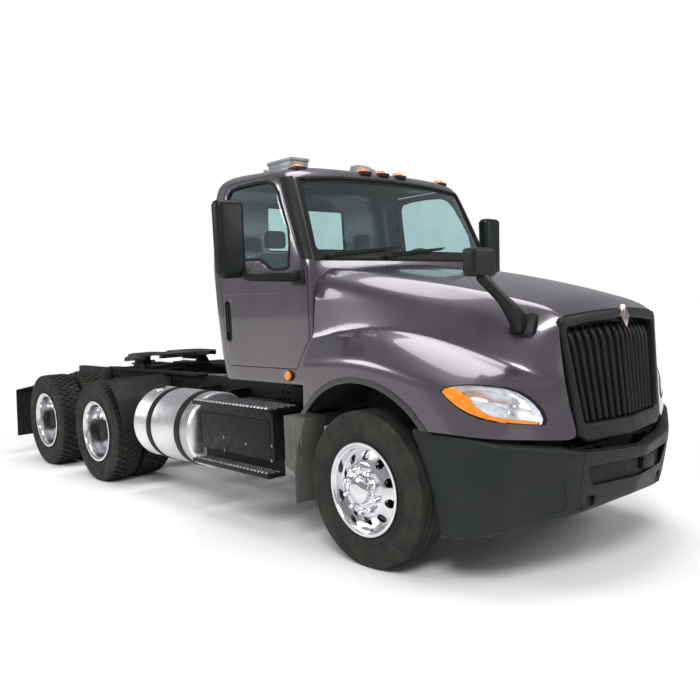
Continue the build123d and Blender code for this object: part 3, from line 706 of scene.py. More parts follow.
def onHood(s, outline, lift):
    # side-view points laid on the hood's skin, raised along one slanting line
    outward = Vector((s * 0.66, -0.75, 0.05)).normalized()
    points = []
    for y, z in outline:
        found, place, normal, face = hoodSkin.ray_cast(Vector((s * 1.6, axleY + y, z)), Vector((-s, 0, 0)))
        points.append(place + outward * lift)
    return points


def loopStrip(name, loops, tip=None):
    # strips between closed loops, drawn to one point where a tip is given
    count = len(loops[0])
    points = [point for loop in loops for point in loop]
    faces = stripFaces(count, len(loops), True)
    if tip is not None:
        last = (len(loops) - 1) * count
        points.append(sum(loops[-1], Vector()) / count + tip)
        faces += [(last + c, last + (c + 1) % count, len(points) - 1) for c in range(count)]
    return addPiece(name, points, faces)


def makeHeadlamp(s):
    shape, side = lampShape, sideName[s]
    lens = thicken(copyOf(hoodSkin, "lampLens_" + side), 0.004)
    keepIn(lens, prism("lensTool", outlineShrunk(lampOutline, 0.003), "X", s * 0.55, s * 1.30))
    amber = copyOf(lens, "lampAmber_" + side)
    amberPart = shape["amberInner"] + shape["amberRound"]
    keepIn(amber, prism("amberTool", amberPart, "X", s * 0.5, s * 1.35))
    cut(lens, prism("clearTool", amberPart, "X", s * 0.5, s * 1.35))
    ready(lens, "lampGlass", "hood", ["headlamps"] if s < 0 else ())
    ready(amber, "amberLens", "hood")
    loops = [onHood(s, outlineShrunk(lampOutline, inset), lift) for inset, lift in shape["band"]]
    band = loopStrip("lampFrame_" + side, loops)
    ready(thicken(band, 0.0012, 1), "blackPlastic", "hood")
    # bright bowl with flat facets behind the lens
    deep = Vector((-s * 0.66, 0.75, 0)).normalized()
    rim = onHood(s, outlineShrunk(lampOutline, shape["frame"]), -0.008)
    middle = sum(rim, Vector()) / len(rim)
    loops = [[p.lerp(middle, share) + deep * depth for p in rim] for share, depth in shape["bowl"]]
    bowl = cleanNormals(loopStrip("lampBowl_" + side, loops, deep * 0.010), 0)
    ready(thicken(bowl, 0.002, 1), "lampReflector", "hood", (), 8)
    angle = shape["bulbTurn"]
    turn = Matrix.Rotation(math.radians(-angle if s > 0 else 180 + angle), 4, "Z")
    bulbs = []
    for x, y, z, r in shape["bulbs"]:
        place = shift(s * x, axleY + y, z) @ turn @ shift(y=-axleY)
        shell = [(r, 0.0), (r * 1.12, 0.004), (r * 1.12, -0.004), (r * 0.80, -0.030), (0.001, -0.036),
                 (0.001, -0.030), (r * 0.45, -0.022)]
        cap = [(0.001, 0.010), (r * 0.4, 0.007), (r * 0.52, -0.004), (r * 0.5, -0.022), (0.001, -0.024)]
        for name, profile, steps in (("bulb", shell, 32), ("bulbCap", cap, 24)):
            bulbs.append(turned(name, profile, 0, 0, 0, steps))
            bulbs[-1].data.transform(place)
    ready(joined("lampBulbs_" + side, bulbs), "lampReflector", "hood", (), 40)


for s in sides:
    makeHeadlamp(s)
print("stage: headlamps are made")


# grille

grilleShape = {
    "root": Vector((0, axleY - 1.238, 0.795)),
    "run": Vector((0.9904, 0.1381, 0)), "rise": Vector((0, 0.0864, 0.9963)),
    "outer": [(0.0, 0.042), (0.430, 0.044), (0.503, 0.090), (0.578, 0.762),
        (0.560, 0.787), (0.300, 0.812), (0.0, 0.822)],
    "inner": [(0.0, 0.150), (0.425, 0.150), (0.447, 0.170), (0.532, 0.700),
        (0.515, 0.728), (0.300, 0.752), (0.0, 0.762)],
    "sheet": [(0, -0.030), (0, 0.004), (0.10, 0.012), (0.86, 0.014), (1, 0.004), (1, -0.060)],    # share inward, depth
    "back": [(-0.002, 0.12), (0.46, 0.12), (0.55, 0.745), (-0.002, 0.785)], "backDepth": -0.075,
    "bars": 7, "barWidth": 0.031, "barSteps": 14, "barSides": 8, "barFoot": 0.148,
    "emblem": [(0, 0.072), (0.048, 0.0), (0, -0.072), (-0.048, 0.0)], "emblemZ": 1.566, "emblemDepth": 0.034,
}


def onGrille(run, rise, depth):
    shape = grilleShape
    outward = shape["run"].cross(shape["rise"])
    return shape["root"] + shape["run"] * run + shape["rise"] * rise + outward * depth


def grilleSheet(name, loops):
    # strips between successive outlines, each with its own depth
    points = [onGrille(a, b, depth) for outline, depth in loops for a, b in outline]
    piece = addPiece(name, points, stripFaces(len(loops[0][0]), len(loops)))
    otherHalf(piece, clip=True)
    for vertex in piece.data.vertices:
        if abs(vertex.co.x) < 0.0008:
            vertex.co.x = 0
    return cleanNormals(piece)


def grilleBar(index):
    # a rounded upright bar; the bars stand closer at the foot than at the head
    shape = grilleShape
    foot, head, top = 0.031 + 0.0600 * index, 0.036 + 0.0715 * index, 0.750 - 0.004 * index
    steps, around = shape["barSteps"], shape["barSides"]
    points = []
    for k in range(steps + 1):
        t = k / steps
        rise = shape["barFoot"] + (top - shape["barFoot"]) * t
        centre = foot + (head - foot) * t
        bend = 0.045 * max(0.0, (t - 0.82) / 0.18) ** 2
        for j in range(around):
            a = 2 * math.pi * j / around
            across = centre + shape["barWidth"] * 0.5 * math.cos(a)
            points.append(onGrille(across, rise, -0.022 - bend + 0.017 * math.sin(a)))
    bar = addPiece("bar", points, stripFaces(around, steps + 1, True, True))
    return roundOff(cleanNormals(bar), 1)


def makeGrille():
    shape = grilleShape
    loops = [([between(a, b, share) for a, b in zip(shape["outer"], shape["inner"])], depth)
             for share, depth in shape["sheet"]]
    surround = thicken(grilleSheet("grilleSurround", loops), 0.004)
    ready(softenEdges(surround, 0.004, 3, 28), "grillePlastic", "hood", ["grille"], 35)
    points = [onGrille(a, b, shape["backDepth"]) for a, b in shape["back"]]
    points += [Vector((-p.x, p.y, p.z)) for p in points]
    back = cleanNormals(addPiece("grilleBack", points, [(0, 1, 2, 3), (7, 6, 5, 4)]))
    ready(thicken(back, 0.003), "blackPlastic", "hood")
    bars = []
    for index in range(shape["bars"]):
        bar = grilleBar(index)
        bars += [bar, copyOf(bar, "barTwin", acrossX)]
    ready(joined("grilleBars", bars), "grillePlastic", "hood", (), 60)
    # plain diamond at the head of the grille
    front, middle = onGrille(0, 0.760, 0.030).y, shape["emblemZ"]
    points = [(x, front + depth + 0.10 * h, middle + h)
              for depth in (0, shape["emblemDepth"]) for x, h in shape["emblem"]]
    faces = [(0, 1, 2, 3), (7, 6, 5, 4)] + [(k, k + 4, (k + 1) % 4 + 4, (k + 1) % 4) for k in range(4)]
    diamond = addPiece("noseEmblem", points, faces)
    openSome(diamond, lambda polygon: polygon.index == 0)
    bpy.ops.mesh.inset(thickness=0.007, depth=-0.003)
    cleanNormals(closeUp(diamond))
    ready(softenEdges(diamond, 0.0012), "emblemMetal", "hood")


makeGrille()
print("stage: grille is made")


# kerb-side hood mirror

hoodMirrorShape = {
    "centre": (-1.000, -0.862, 1.912), "half": (0.098, 0.046, 0.078),
    "arm": [    # centre of each ring, half breadth, half depth
        ((-1.010, -0.870, 1.850), 0.050, 0.030), ((-0.985, -0.880, 1.815), 0.034, 0.028),
        ((-0.930, -0.905, 1.750), 0.026, 0.030), ((-0.865, -0.925, 1.690), 0.030, 0.034),
        ((-0.800, -0.935, 1.630), 0.048, 0.040), ((-0.740, -0.930, 1.570), 0.066, 0.040),
        ((-0.690, -0.920, 1.520), 0.070, 0.032)],
    "pane": ((-1.076, -0.828, 1.854), (-0.924, -0.812, 1.970)),
    "footCentre": (-0.700, -0.925, 1.548), "footHalf": (0.085, 0.060, 0.060),
    "squareness": 0.7, "around": 12,
}


def roundedShell(name, centre, half, edge=0.78):
    # a soft-cornered housing from a box cage
    piece = block(name, [c - h for c, h in zip(centre, half)], [c + h for c, h in zip(centre, half)])
    openAll(piece)
    bpy.ops.mesh.subdivide(number_cuts=2)
    closeUp()
    middle = Vector((centre[0], axleY + centre[1], centre[2]))
    for vertex in piece.data.vertices:
        d = vertex.co - middle
        share = [abs(d[i]) / half[i] for i in range(3)]
        full = sum(1 for value in share if value > 0.9)
        for i in range(3):
            if share[i] < 0.5:
                d[i] = math.copysign(half[i] * edge, d[i])
            elif share[i] > 0.9 and full < 3:    # faces swell more than edges
                d[i] *= 1.015 if full == 2 else 1.03
        vertex.co = middle + d
    return roundOff(piece, 3)


def sweptArm(name, rings):
    # a tapering arm through rings of given half breadth and half depth
    around, power = hoodMirrorShape["around"], hoodMirrorShape["squareness"]
    points = []
    line = [Vector((x, axleY + y, z)) for (x, y, z), breadth, depth in rings]
    for k, (centre, breadth, depth) in enumerate(rings):
        ahead = (line[min(k + 1, len(line) - 1)] - line[max(k - 1, 0)]).normalized()
        wide = ahead.cross(Vector((0, 1, 0))).normalized()
        deep = ahead.cross(wide).normalized()
        for j in range(around):
            a = 2 * math.pi * j / around
            c, d = (math.copysign(abs(value) ** power, value) for value in (math.cos(a), math.sin(a)))
            points.append(line[k] + wide * breadth * c + deep * depth * d)
    return roundOff(cleanNormals(addPiece(name, points, stripFaces(around, len(rings), True, True))), 2)


def makeHoodMirror():
    shape = hoodMirrorShape
    head = roundedShell("hoodMirrorHead", shape["centre"], shape["half"], 0.55)
    arm = sweptArm("hoodMirrorArm", shape["arm"])
    ready(joined("hoodMirror", [head, arm]), "mirrorPlastic", "hood", ["hood_mirror"], 60)
    pane = block("hoodMirrorGlass", *shape["pane"], 0.012, 3)
    ready(pane, "chrome", "hood", (), 40)
    base = roundedShell("hoodMirrorFoot", shape["footCentre"], shape["footHalf"])
    keepIn(base, thicken(copyOf(hoodSkin, "footTool"), 0.060, 0.2))
    ready(base, "mirrorPlastic", "hood", (), 50)


makeHoodMirror()
bpy.data.objects.remove(hoodSkin)
print("stage: hood mirror is made")


# bumper

bumperShape = {
    "wall": 0.012,
    "levels": {    # height: plan from the rear of the side to the centre
        0.280: [(1.085, -0.600), (1.075, -0.760), (0.990, -0.900), (0.690, -1.050), (0.500, -1.130), (0, -1.200)],
        0.560: [(1.102, -0.560), (1.092, -0.790), (1.010, -0.955), (0.700, -1.105), (0.520, -1.185), (0, -1.275)],
        0.760: [(1.112, -0.480), (1.100, -0.800), (1.020, -0.985), (0.700, -1.140), (0.520, -1.222), (0, -1.338)],
        0.930: [(1.108, -0.400), (1.096, -0.790), (1.010, -0.970), (0.700, -1.120), (0.520, -1.200), (0, -1.310)],
    },
    # foot, crease
    "ends": [(0.286, 0.920), (0.306, 0.898), (0.345, 0.862), (0.378, 0.812), (0.402, 0.784), (0.448, 0.768)],
    "columns": [0, 0.5, 1, 1.4, 1.75, 2, 2.25, 2.6, 3, 3.5, 4, 4.5, 4.85, 5],    # from the side to the centre
    "recess": [(-0.492, 0.706), (-0.430, 0.578), (0.430, 0.578), (0.492, 0.706)],
    "press": [(-1.145, 0.640), (-1.000, 0.655), (-1.000, 0.520), (-1.060, 0.450), (-1.140, 0.445)],
    "tray": [(0.0, -1.256), (0.505, -1.172), (0.505, -1.140), (-0.505, -1.140), (-0.505, -1.172)],
}


def planAt(index, z):
    heights = sorted(bumperShape["levels"])
    z = min(max(z, heights[0]), heights[-1])
    for low, high in zip(heights, heights[1:]):
        if low <= z <= high:
            a, b = bumperShape["levels"][low][index], bumperShape["levels"][high][index]
            return between(a, b, (z - low) / (high - low))


def bumperColumn(position):
    # one upright line of the skin, from the foot over the crease to the top flange
    first = min(int(position), 4)
    t = position - first
    foot, crease = between(bumperShape["ends"][first], bumperShape["ends"][first + 1], t)
    column = []
    for z in (foot, foot + 0.02, foot + (crease - foot) * 0.3, foot + (crease - foot) * 0.6, crease - 0.05,
              crease - 0.012, crease):
        x, y = between(planAt(first, z), planAt(first + 1, z), t)
        column.append((x, y, z))
    aside = Vector((x * 0.55, y + 0.35, 0)).normalized()
    column[0] = (column[0][0] - aside.x * 0.03, column[0][1] - aside.y * 0.03, column[0][2])
    rise = 0.006 if x < 0.6 else 0.026
    for inward, up in ((0.005, rise * 0.5), (0.020, rise), (0.070, rise + 0.003)):
        column.append((x - aside.x * inward, y - aside.y * inward, z + up))
    return column


def makeBumper():
    shape = bumperShape
    columns = [bumperColumn(position) for position in shape["columns"]]
    columns[-1] = [(0, y, z) for x, y, z in columns[-1]]
    skin = cage("bumperSkin", columns, (), 2)
    shell = thicken(copyOf(skin, "bumperShell"), shape["wall"])
    cut(shell, prism("recessTool", shape["recess"], "Y", -1.45, -1.08, 0.030, 4))
    for s in sides:
        cut(shell, block("towTool", (s * 0.38, -1.4, 0.45), (s * 0.46, -1.0, 0.52), 0.012, 3))
        # a groove either side of the middle, and a shallow panel pressed into each corner
        groove = thicken(copyOf(skin, "groove"), 0.008, 0.3)
        cut(shell, keepIn(groove, block("grooveKeep", (s * 0.520, -1.45, 0.25), (s * 0.526, -1.0, 0.79))))
        press = thicken(copyOf(skin, "press"), 0.008, 0.0)
        cut(shell, keepIn(press, prism("pressKeep", shape["press"], "X", s * 0.60, s * 1.2)))
    ready(softenEdges(shell, 0.002, 2, 50), "bumperPlastic", "chassis", ["bumper"])
    bpy.data.objects.remove(skin)
    # dark recess behind the centre opening, and a plain bare plate holder in it
    tray = prism("bumperRecess", shape["tray"], "Z", 0.560, 0.722)
    behind = block("bayPanel", (-0.50, -1.125, 0.600), (0.50, -1.110, 0.800), 0.003, 2)
    ready(joined("bumperRecess", [tray, behind]), "blackPlastic")
    ready(block("plateHolder", (0.06, -1.276, 0.604), (0.20, -1.235, 0.690), 0.006, 2), "grillePlastic")
    for s in sides:
        pocket = block("towPocket_" + sideName[s], (s * 0.355, -1.170, 0.436), (s * 0.485, -1.04, 0.545), 0.002, 2)
        ready(pocket, "castBlack")


makeBumper()
print("stage: bumper is made")


# wheels and tyres

wheelShape = {
    "frontX": 1.031, "outerX": 1.073, "innerX": 0.743, "hubZ": 0.510, "rearAxles": (("middle", 3.912), ("rear", 5.232)),
    "treadGrooves": [-0.074, -0.026, 0.026, 0.074], "grooveHalf": 0.0045, "grooveDepth": 0.013,
    "lugPitches": 46,
    "handHoleRing": 0.215, "handHole": 0.0305, "rearHoleRing": 0.190, "rearHole": 0.026,
    "nutRing": 0.143, "studs": 10,
    "side": [    # (radius, offset) from the bead to the shoulder
        (0.300, 0.104), (0.3005, 0.1145), (0.308, 0.1195), (0.314, 0.1165), (0.320, 0.1200), (0.330, 0.1275),
        (0.336, 0.1335), (0.344, 0.1350), (0.348, 0.1390), (0.353, 0.1390), (0.356, 0.1345), (0.372, 0.1370),
        (0.375, 0.1350), (0.402, 0.1385), (0.430, 0.1395), (0.433, 0.1415), (0.440, 0.1418), (0.443, 0.1385),
        (0.456, 0.1380), (0.459, 0.1400), (0.466, 0.1395), (0.470, 0.1350), (0.480, 0.1325), (0.484, 0.1335),
        (0.490, 0.1310), (0.504, 0.1250), (0.5095, 0.1180)],
    "lugRows": [    # from, to, share of the pitch, lag in pitches
        (-0.127, -0.084, 0.62, 0.0), (-0.076, -0.028, 0.60, 0.5), (-0.020, 0.020, 0.66, 0.0),
        (0.028, 0.076, 0.60, 0.5), (0.084, 0.127, 0.62, 0.0)],
    "lugLevels": ((0.492, 1.0), (0.5070, 1.0), (0.5100, 0.90)),    # radius, share of the full size
}
hubZ = wheelShape["hubZ"]
nutZ = hubZ + wheelShape["nutRing"]
flangeIn = [(0.2985, -0.108), (0.2995, -0.1165), (0.306, -0.1195), (0.3075, -0.128), (0.3065, -0.1335),
    (0.300, -0.1342), (0.288, -0.1335), (0.283, -0.124)]
flangeOut = [(r, -offset) for r, offset in reversed(flangeIn)]


def turnedHere(name, profile, steps, z=hubZ):
    return turned(name, profile, 0, 0, z, steps)


def rodHere(name, radius, near, far, soft=0.0, vertices=20, tip=None, z=nutZ):
    return rod(name, radius, (near, 0, z), (far, 0, z), soft, vertices, tip)


def tyreProfile(ribbed):
    side, tread = wheelShape["side"], []
    if ribbed:
        half, depth = wheelShape["grooveHalf"], wheelShape["grooveDepth"]
        for middle in reversed(wheelShape["treadGrooves"]):
            wall = [(0.5100, half + 0.0015), (0.5085, half), (0.5100 - depth, half * 0.6)]
            tread += [(r, middle + a) for r, a in wall] + [(r, middle - a) for r, a in reversed(wall)]
    else:
        side = side[:-2] + [(0.4965, 0.1240), (0.4960, 0.1160)]
        tread = [(0.4960, 0.05), (0.4960, -0.05)]
    return side + tread + [(r, -offset) for r, offset in reversed(side)]


def makeDriveTyre():
    # plain carcass with staggered tread blocks set round it
    shape = wheelShape
    step = 2 * math.pi / shape["lugPitches"]
    points, faces = [], []
    for k in range(shape["lugPitches"]):
        for near, far, share, lag in shape["lugRows"]:
            middle, reach, centre = (k + lag) * step, step * share / 2, (near + far) / 2
            skew = 0.10 * step if near < 0 else -0.10 * step
            first = len(points)
            for radius, pull in shape["lugLevels"]:
                for x, turn in ((near, -1), (far, -1), (far, 1), (near, 1)):
                    angle = middle + reach * turn * pull + (skew if x == near else -skew)
                    r = radius - (0.004 if abs(x) > 0.12 and radius > 0.5 else 0.0)
                    y, z = r * math.sin(angle), r * math.cos(angle)
                    points.append((centre + (x - centre) * pull, axleY + y, hubZ + z))
            faces += [tuple(first + i for i in face) for face in stripFaces(4, 3, True)]
            faces += [tuple(range(first + 8, first + 12)), tuple(range(first, first + 4))[::-1]]
    lugs = cleanNormals(addPiece("treadBlocks", points, faces), 0)
    return joined("driveTyre", [turnedHere("driveTyre", tyreProfile(False), 72), lugs])


def ringOfHoles(piece, ring, radius, near, far):
    cutters = []
    for k in range(wheelShape["studs"]):
        a = 2 * math.pi * k / wheelShape["studs"]
        y, z = ring * math.sin(a), hubZ + ring * math.cos(a)
        cutters.append(rod("holeTool", radius, (near, y, z), (far, y, z), 0, 28))
    return softenEdges(cut(piece, joined("holeTools", cutters)), 0.0022, 2, 50)


def ringOf(piece, count):
    copies = [piece]
    for k in range(1, count):
        copies.append(copyOf(piece, "ringCopy", turnAboutX(2 * math.pi * k / count, 0, hubZ)))
    return joined(piece.name, copies)


def makeFrontDisc():
    inside = [(0.268, -0.100), (0.262, -0.040), (0.262, 0.020), (0.240, 0.046),
        (0.190, 0.078), (0.120, 0.092), (0.062, 0.092)]
    face = [(0.062, 0.118), (0.128, 0.122), (0.168, 0.1225), (0.177, 0.1180), (0.186, 0.1080), (0.240, 0.0740),
        (0.252, 0.0690), (0.260, 0.0730), (0.267, 0.0960), (0.271, 0.1180)]
    disc = turnedHere("frontDisc", flangeIn + inside + face + flangeOut, 96)
    return ringOfHoles(disc, wheelShape["handHoleRing"], wheelShape["handHole"], 0.02, 0.16)


def makeFrontTrim():
    # domed hub cover with its step, and a cover on every wheel nut
    hub = turnedHere("hubCover", [(0.104, 0.116), (0.105, 0.134), (0.101, 0.139), (0.090, 0.141), (0.088, 0.160),
        (0.081, 0.174), (0.064, 0.184), (0.040, 0.189), (0.001, 0.1898), (0.001, 0.116)], 64)
    nut = rodHere("nutCover", 0.0215, 0.118, 0.156, tip=0.0175)
    dome = turnedHere("nutDome", [(0.0175, 0.155), (0.0165, 0.163), (0.011, 0.1695),
        (0.001, 0.172), (0.001, 0.155)], 20)
    dome.data.transform(shift(z=wheelShape["nutRing"]))
    flange = rodHere("nutFlange", 0.0252, 0.116, 0.1255, 0.0015)
    return joined("frontTrim", [hub, ringOf(joined("nutCover", [nut, dome, flange]), wheelShape["studs"])])


def makeRearDisc():
    dish = [(0.268, -0.100), (0.262, -0.110), (0.240, -0.112), (0.150, -0.118), (0.105, -0.124), (0.105, -0.098),
        (0.165, -0.096), (0.172, -0.091), (0.215, -0.083), (0.238, -0.074), (0.250, -0.055), (0.256, -0.010),
        (0.260, 0.060), (0.266, 0.095), (0.270, 0.118)]
    disc = turnedHere("rearDisc", flangeIn + dish + flangeOut, 96)
    return ringOfHoles(disc, wheelShape["rearHoleRing"], wheelShape["rearHole"], -0.16, -0.04)


def makeRearNuts():
    nut = rodHere("wheelNut", 0.0195, -0.094, -0.062, 0.0016, 6)
    washer = rodHere("nutWasher", 0.0245, -0.098, -0.090, 0.0015)
    stud = rodHere("nutStud", 0.0105, -0.064, -0.046, 0.0015, 16)
    return ringOf(joined("rearNuts", [nut, washer, stud]), wheelShape["studs"])


def makeRearHub():
    hub = turnedHere("rearHub", [(0.112, -0.100), (0.113, -0.020), (0.108, -0.008), (0.100, 0.000), (0.098, 0.030),
        (0.102, 0.036), (0.102, 0.046), (0.096, 0.052), (0.058, 0.055), (0.050, 0.0585),
        (0.001, 0.0598), (0.001, -0.100)], 56)
    bolt = rodHere("flangeNut", 0.0105, 0.044, 0.0585, 0.001, 6, z=hubZ + 0.080)
    return joined("rearHub", [hub, ringOf(bolt, 8)])


def makeInnerDisc():
    dish = [(0.268, -0.100), (0.262, 0.080), (0.262, 0.110), (0.105, 0.142),
        (0.105, 0.168), (0.262, 0.140), (0.276, 0.130)]
    return turnedHere("innerDisc", flangeIn + dish + flangeOut[1:], 72)


def makeWheels():
    shape = wheelShape
    parts = {
        "frontTyre": turnedHere("frontTyre", tyreProfile(True), 96), "driveTyre": makeDriveTyre(),
        "frontDisc": makeFrontDisc(), "frontTrim": makeFrontTrim(), "rearDisc": makeRearDisc(),
        "rearNuts": makeRearNuts(), "rearHub": makeRearHub(), "innerDisc": makeInnerDisc(),
    }

    def placed(part, x, y, name):
        turn = shift(s * x, y) @ (Matrix.Identity(4) if s > 0 else acrossX)
        return copyOf(parts[part], name, turn)

    for s in sides:
        side = sideName[s]
        body = "wheel_front_" + side
        tyre, disc, trim = (placed("front" + part, shape["frontX"], 0, part.lower() + "Front_" + side)
                            for part in ("Tyre", "Disc", "Trim"))
        ready(tyre, "tyreRubber", body, ["tyre_front_" + side], 18)
        ready(disc, "polishedAluminium", body, ["wheel_front_" + side], 32)
        ready(trim, "chrome", body, (), 32)
        for axleName, y in shape["rearAxles"]:
            end = axleName + "_" + side
            body, place = "wheels_" + end, axleName.capitalize() + "_" + side
            tyres = [placed("driveTyre", shape["outerX"], y, "tyreOuter"),
                     placed("driveTyre", shape["innerX"], y, "tyreInner")]
            ready(joined("tyres" + place, tyres), "tyreRubber", body, ["tyres_" + end], 18)
            discs = [placed("rearDisc", shape["outerX"], y, "discOuter"),
                     placed("innerDisc", shape["innerX"], y, "discInner")]
            ready(joined("discs" + place, discs), "polishedAluminium", body, ["wheels_" + end], 32)
            ready(placed("rearNuts", shape["outerX"], y, "nuts" + place), "chrome", body, (), 32)
            ready(placed("rearHub", shape["outerX"], y, "hub" + place), "castBlack", body, (), 32)
    for piece in parts.values():
        bpy.data.objects.remove(piece)


makeWheels()
print("stage: wheels and tyres are made")


# cab

cabShape = {
    "wall": 0.016,
    "levels": [    # z at the front, z at the rear, half width, then y of front centre, front side, corner and rear
        (1.130, 1.130, 1.020, 0.602, 0.604, 0.616, 1.772), (1.145, 1.145, 1.028, 0.601, 0.603, 0.612, 1.776),
        (1.250, 1.250, 1.043, 0.600, 0.602, 0.608, 1.790), (1.600, 1.600, 1.048, 0.590, 0.598, 0.606, 1.838),
        (1.960, 1.960, 1.050, 0.550, 0.590, 0.616, 1.862), (2.040, 2.040, 1.049, 0.566, 0.610, 0.650, 1.866),
        (2.300, 2.300, 1.034, 0.660, 0.728, 0.772, 1.872), (2.540, 2.540, 1.003, 0.752, 0.830, 0.882, 1.872),
        (2.645, 2.655, 0.982, 0.796, 0.872, 0.930, 1.866), (2.692, 2.718, 0.948, 0.824, 0.902, 0.966, 1.848),
        (2.724, 2.768, 0.868, 0.862, 0.946, 1.030, 1.800), (2.748, 2.800, 0.700, 0.930, 1.020, 1.110, 1.720),
        (2.762, 2.814, 0.420, 1.050, 1.120, 1.200, 1.620), (2.767, 2.818, 0.000, 1.180, 1.220, 1.260, 1.540)],
    "shield": [(-0.964, 2.026), (0.964, 2.026), (0.962, 2.10), (0.898, 2.638), (0.50, 2.668), (0, 2.678),
        (-0.50, 2.668), (-0.898, 2.638), (-0.962, 2.10)],
    "shieldClear": [(-0.915, 2.100), (0.915, 2.100), (0.926, 2.125), (0.866, 2.590), (0.835, 2.612), (0.50, 2.630),
        (0, 2.638), (-0.50, 2.630), (-0.835, 2.612), (-0.866, 2.590), (-0.926, 2.125)],
    "rearWindow": [(-0.45, 2.20), (-0.43, 2.18), (0.43, 2.18), (0.45, 2.20), (0.44, 2.55),
        (0.42, 2.57), (-0.42, 2.57), (-0.44, 2.55)],
    "door": [(0.628, 1.960), (0.628, 1.475), (0.784, 1.250), (1.645, 1.250), (1.672, 1.275), (1.705, 2.000),
        (1.700, 2.560), (1.680, 2.640), (1.630, 2.684), (1.060, 2.684), (1.000, 2.655),
        (0.960, 2.590), (0.760, 2.190), (0.662, 2.010)],
    "window": [(0.815, 1.985), (0.858, 1.973), (1.002, 1.974), (1.051, 1.990), (1.110, 2.030), (1.172, 2.059),
        (1.302, 2.067), (1.600, 2.072), (1.640, 2.105), (1.648, 2.400), (1.640, 2.590), (1.600, 2.638), (1.477, 2.652),
        (1.275, 2.652), (1.110, 2.640), (1.030, 2.606), (0.978, 2.552), (0.902, 2.417), (0.822, 2.264), (0.804, 2.140)],
    "gap": 0.006,
    "pocket": [(1.600, 1.462), (1.620, 1.448), (1.640, 1.448), (1.658, 1.462), (1.660, 1.745),
        (1.645, 1.762), (1.618, 1.762), (1.602, 1.745)],
    "grip": [(1.618, 1.515), (1.640, 1.515), (1.642, 1.735), (1.620, 1.735)],
    "pillar": [(0.990, 2.03), (1.06, 2.03), (1.045, 2.30), (0.992, 2.645), (0.918, 2.655), (0.930, 2.60)],
    "frontSpan": ("Y", 0.30, 1.15), "rearSpan": ("Y", 1.60, 2.00),    # axis, from, to
    "wipers": ((-0.30, 0.42, 2.108), (-0.86, -0.14, 2.104)),    # x of the pivot, x and z of the tip
    "roofLamps": ((-0.80, 0.975), (-0.198, 0.895), (0.0, 0.895), (0.198, 0.895), (0.80, 0.975)),    # x, y
    "sideLamp": (0.870, 1.198),
}


def cabRows():
    rows = []
    for frontZ, rearZ, w, centre, side, corner, rear in cabShape["levels"]:
        inset = 0.060 if w else 0
        plan = [(0, centre), (0.50 * w, centre + (side - centre) * 0.25), (0.84 * w, centre + (side - centre) * 0.68),
                (max(w - inset, 0), side), (max(w - 0.008, 0), corner), (w, corner + 0.10),
                (w, corner + (rear - corner) * 0.42), (w, corner + (rear - corner) * 0.72), (w, rear - 0.10),
                (w * 0.990, rear - 0.030), (w * 0.93, rear), (w * 0.5, rear + 0.006), (0, rear + 0.008)]
        rows.append([(x, y, frontZ + (rearZ - frontZ) * min(max((y - 0.85) / 0.85, 0), 1)) for x, y in plan])
    return rows


def grown(outline, amount):
    # outline moved outward by amount along its own normals
    count = len(outline)
    area = sum(outline[i - 1][0] * outline[i][1] - outline[i][0] * outline[i - 1][1] for i in range(count))
    turn = 1 if area > 0 else -1
    moved = []
    for i, (a, b) in enumerate(outline):
        before, after = outline[i - 1], outline[(i + 1) % count]
        d1 = Vector((a - before[0], b - before[1])).normalized()
        d2 = Vector((after[0] - a, after[1] - b)).normalized()
        n1, n2 = Vector((d1.y, -d1.x)) * turn, Vector((d2.y, -d2.x)) * turn
        push = (n1 + n2) / max(1 + n1.dot(n2), 0.3)
        moved.append((a + push.x * amount, b + push.y * amount))
    return moved


def layer(name, depth, thickness, keep=None):
    # a sheet of the cab's skin, its outer face depth inside the skin
    sheet = copyOf(cabSkin, name)
    if depth:
        for vertex in sheet.data.vertices:
            vertex.co -= vertex.normal * depth
    if keep:
        openSome(sheet, lambda polygon: not keep(polygon.center))
        bpy.ops.mesh.delete(type="FACE")
        closeUp()
    return thicken(sheet, thickness)


def nearFront(place):
    return place.y < axleY + 1.12 and place.z > 1.93


def nearRear(place):
    return place.y > axleY + 1.74 and 2.05 < place.z < 2.70 and abs(place.x) < 0.8


def nearDoor(s):
    return lambda place: place.x * s > 0.80 and place.y < axleY + 1.82 and place.z > 1.14


def framed(name, depth, thickness, keep, span, inside, hole=None, soft=0.0):
    # a layer kept inside one outline, with an opening of another
    axis, near, far = span
    sheet = keepIn(layer(name, depth, thickness, keep), prism("keepTool", inside, axis, near, far))
    if hole:
        beyond = 0.05 if axis == "Y" else 0
        cut(sheet, prism("holeTool", hole, axis, near - beyond, far + beyond))
    return softenEdges(sheet, soft, 2, 50)


def makeCabShell():
    shape = cabShape
    shell = layer("cabBody", 0, shape["wall"])
    for s in sides:
        cut(shell, prism("doorTool", grown(shape["door"], shape["gap"]), "X", s * 0.80, s * 1.20))
    cut(shell, prism("shieldTool", shape["shield"], *shape["frontSpan"]))
    cut(shell, prism("rearTool", shape["rearWindow"], *shape["rearSpan"]))
    ready(shell, "purpleGreyPaint", "chassis", ["cab_shell"], 28)
    floor = prism("cabFloor", [(-0.99, 0.64), (0.99, 0.64), (0.99, 1.74), (-0.99, 1.74)], "Z", 1.135, 1.185, 0.01)
    ready(floor, "blackPlastic")
    posts = [block("cabMount", (s * 0.35, y, 1.04), (s * 0.44, y + 0.09, 1.14), 0.008)
             for s in sides for y in (0.72, 1.62)]
    ready(joined("cabMounts", posts), "castBlack")


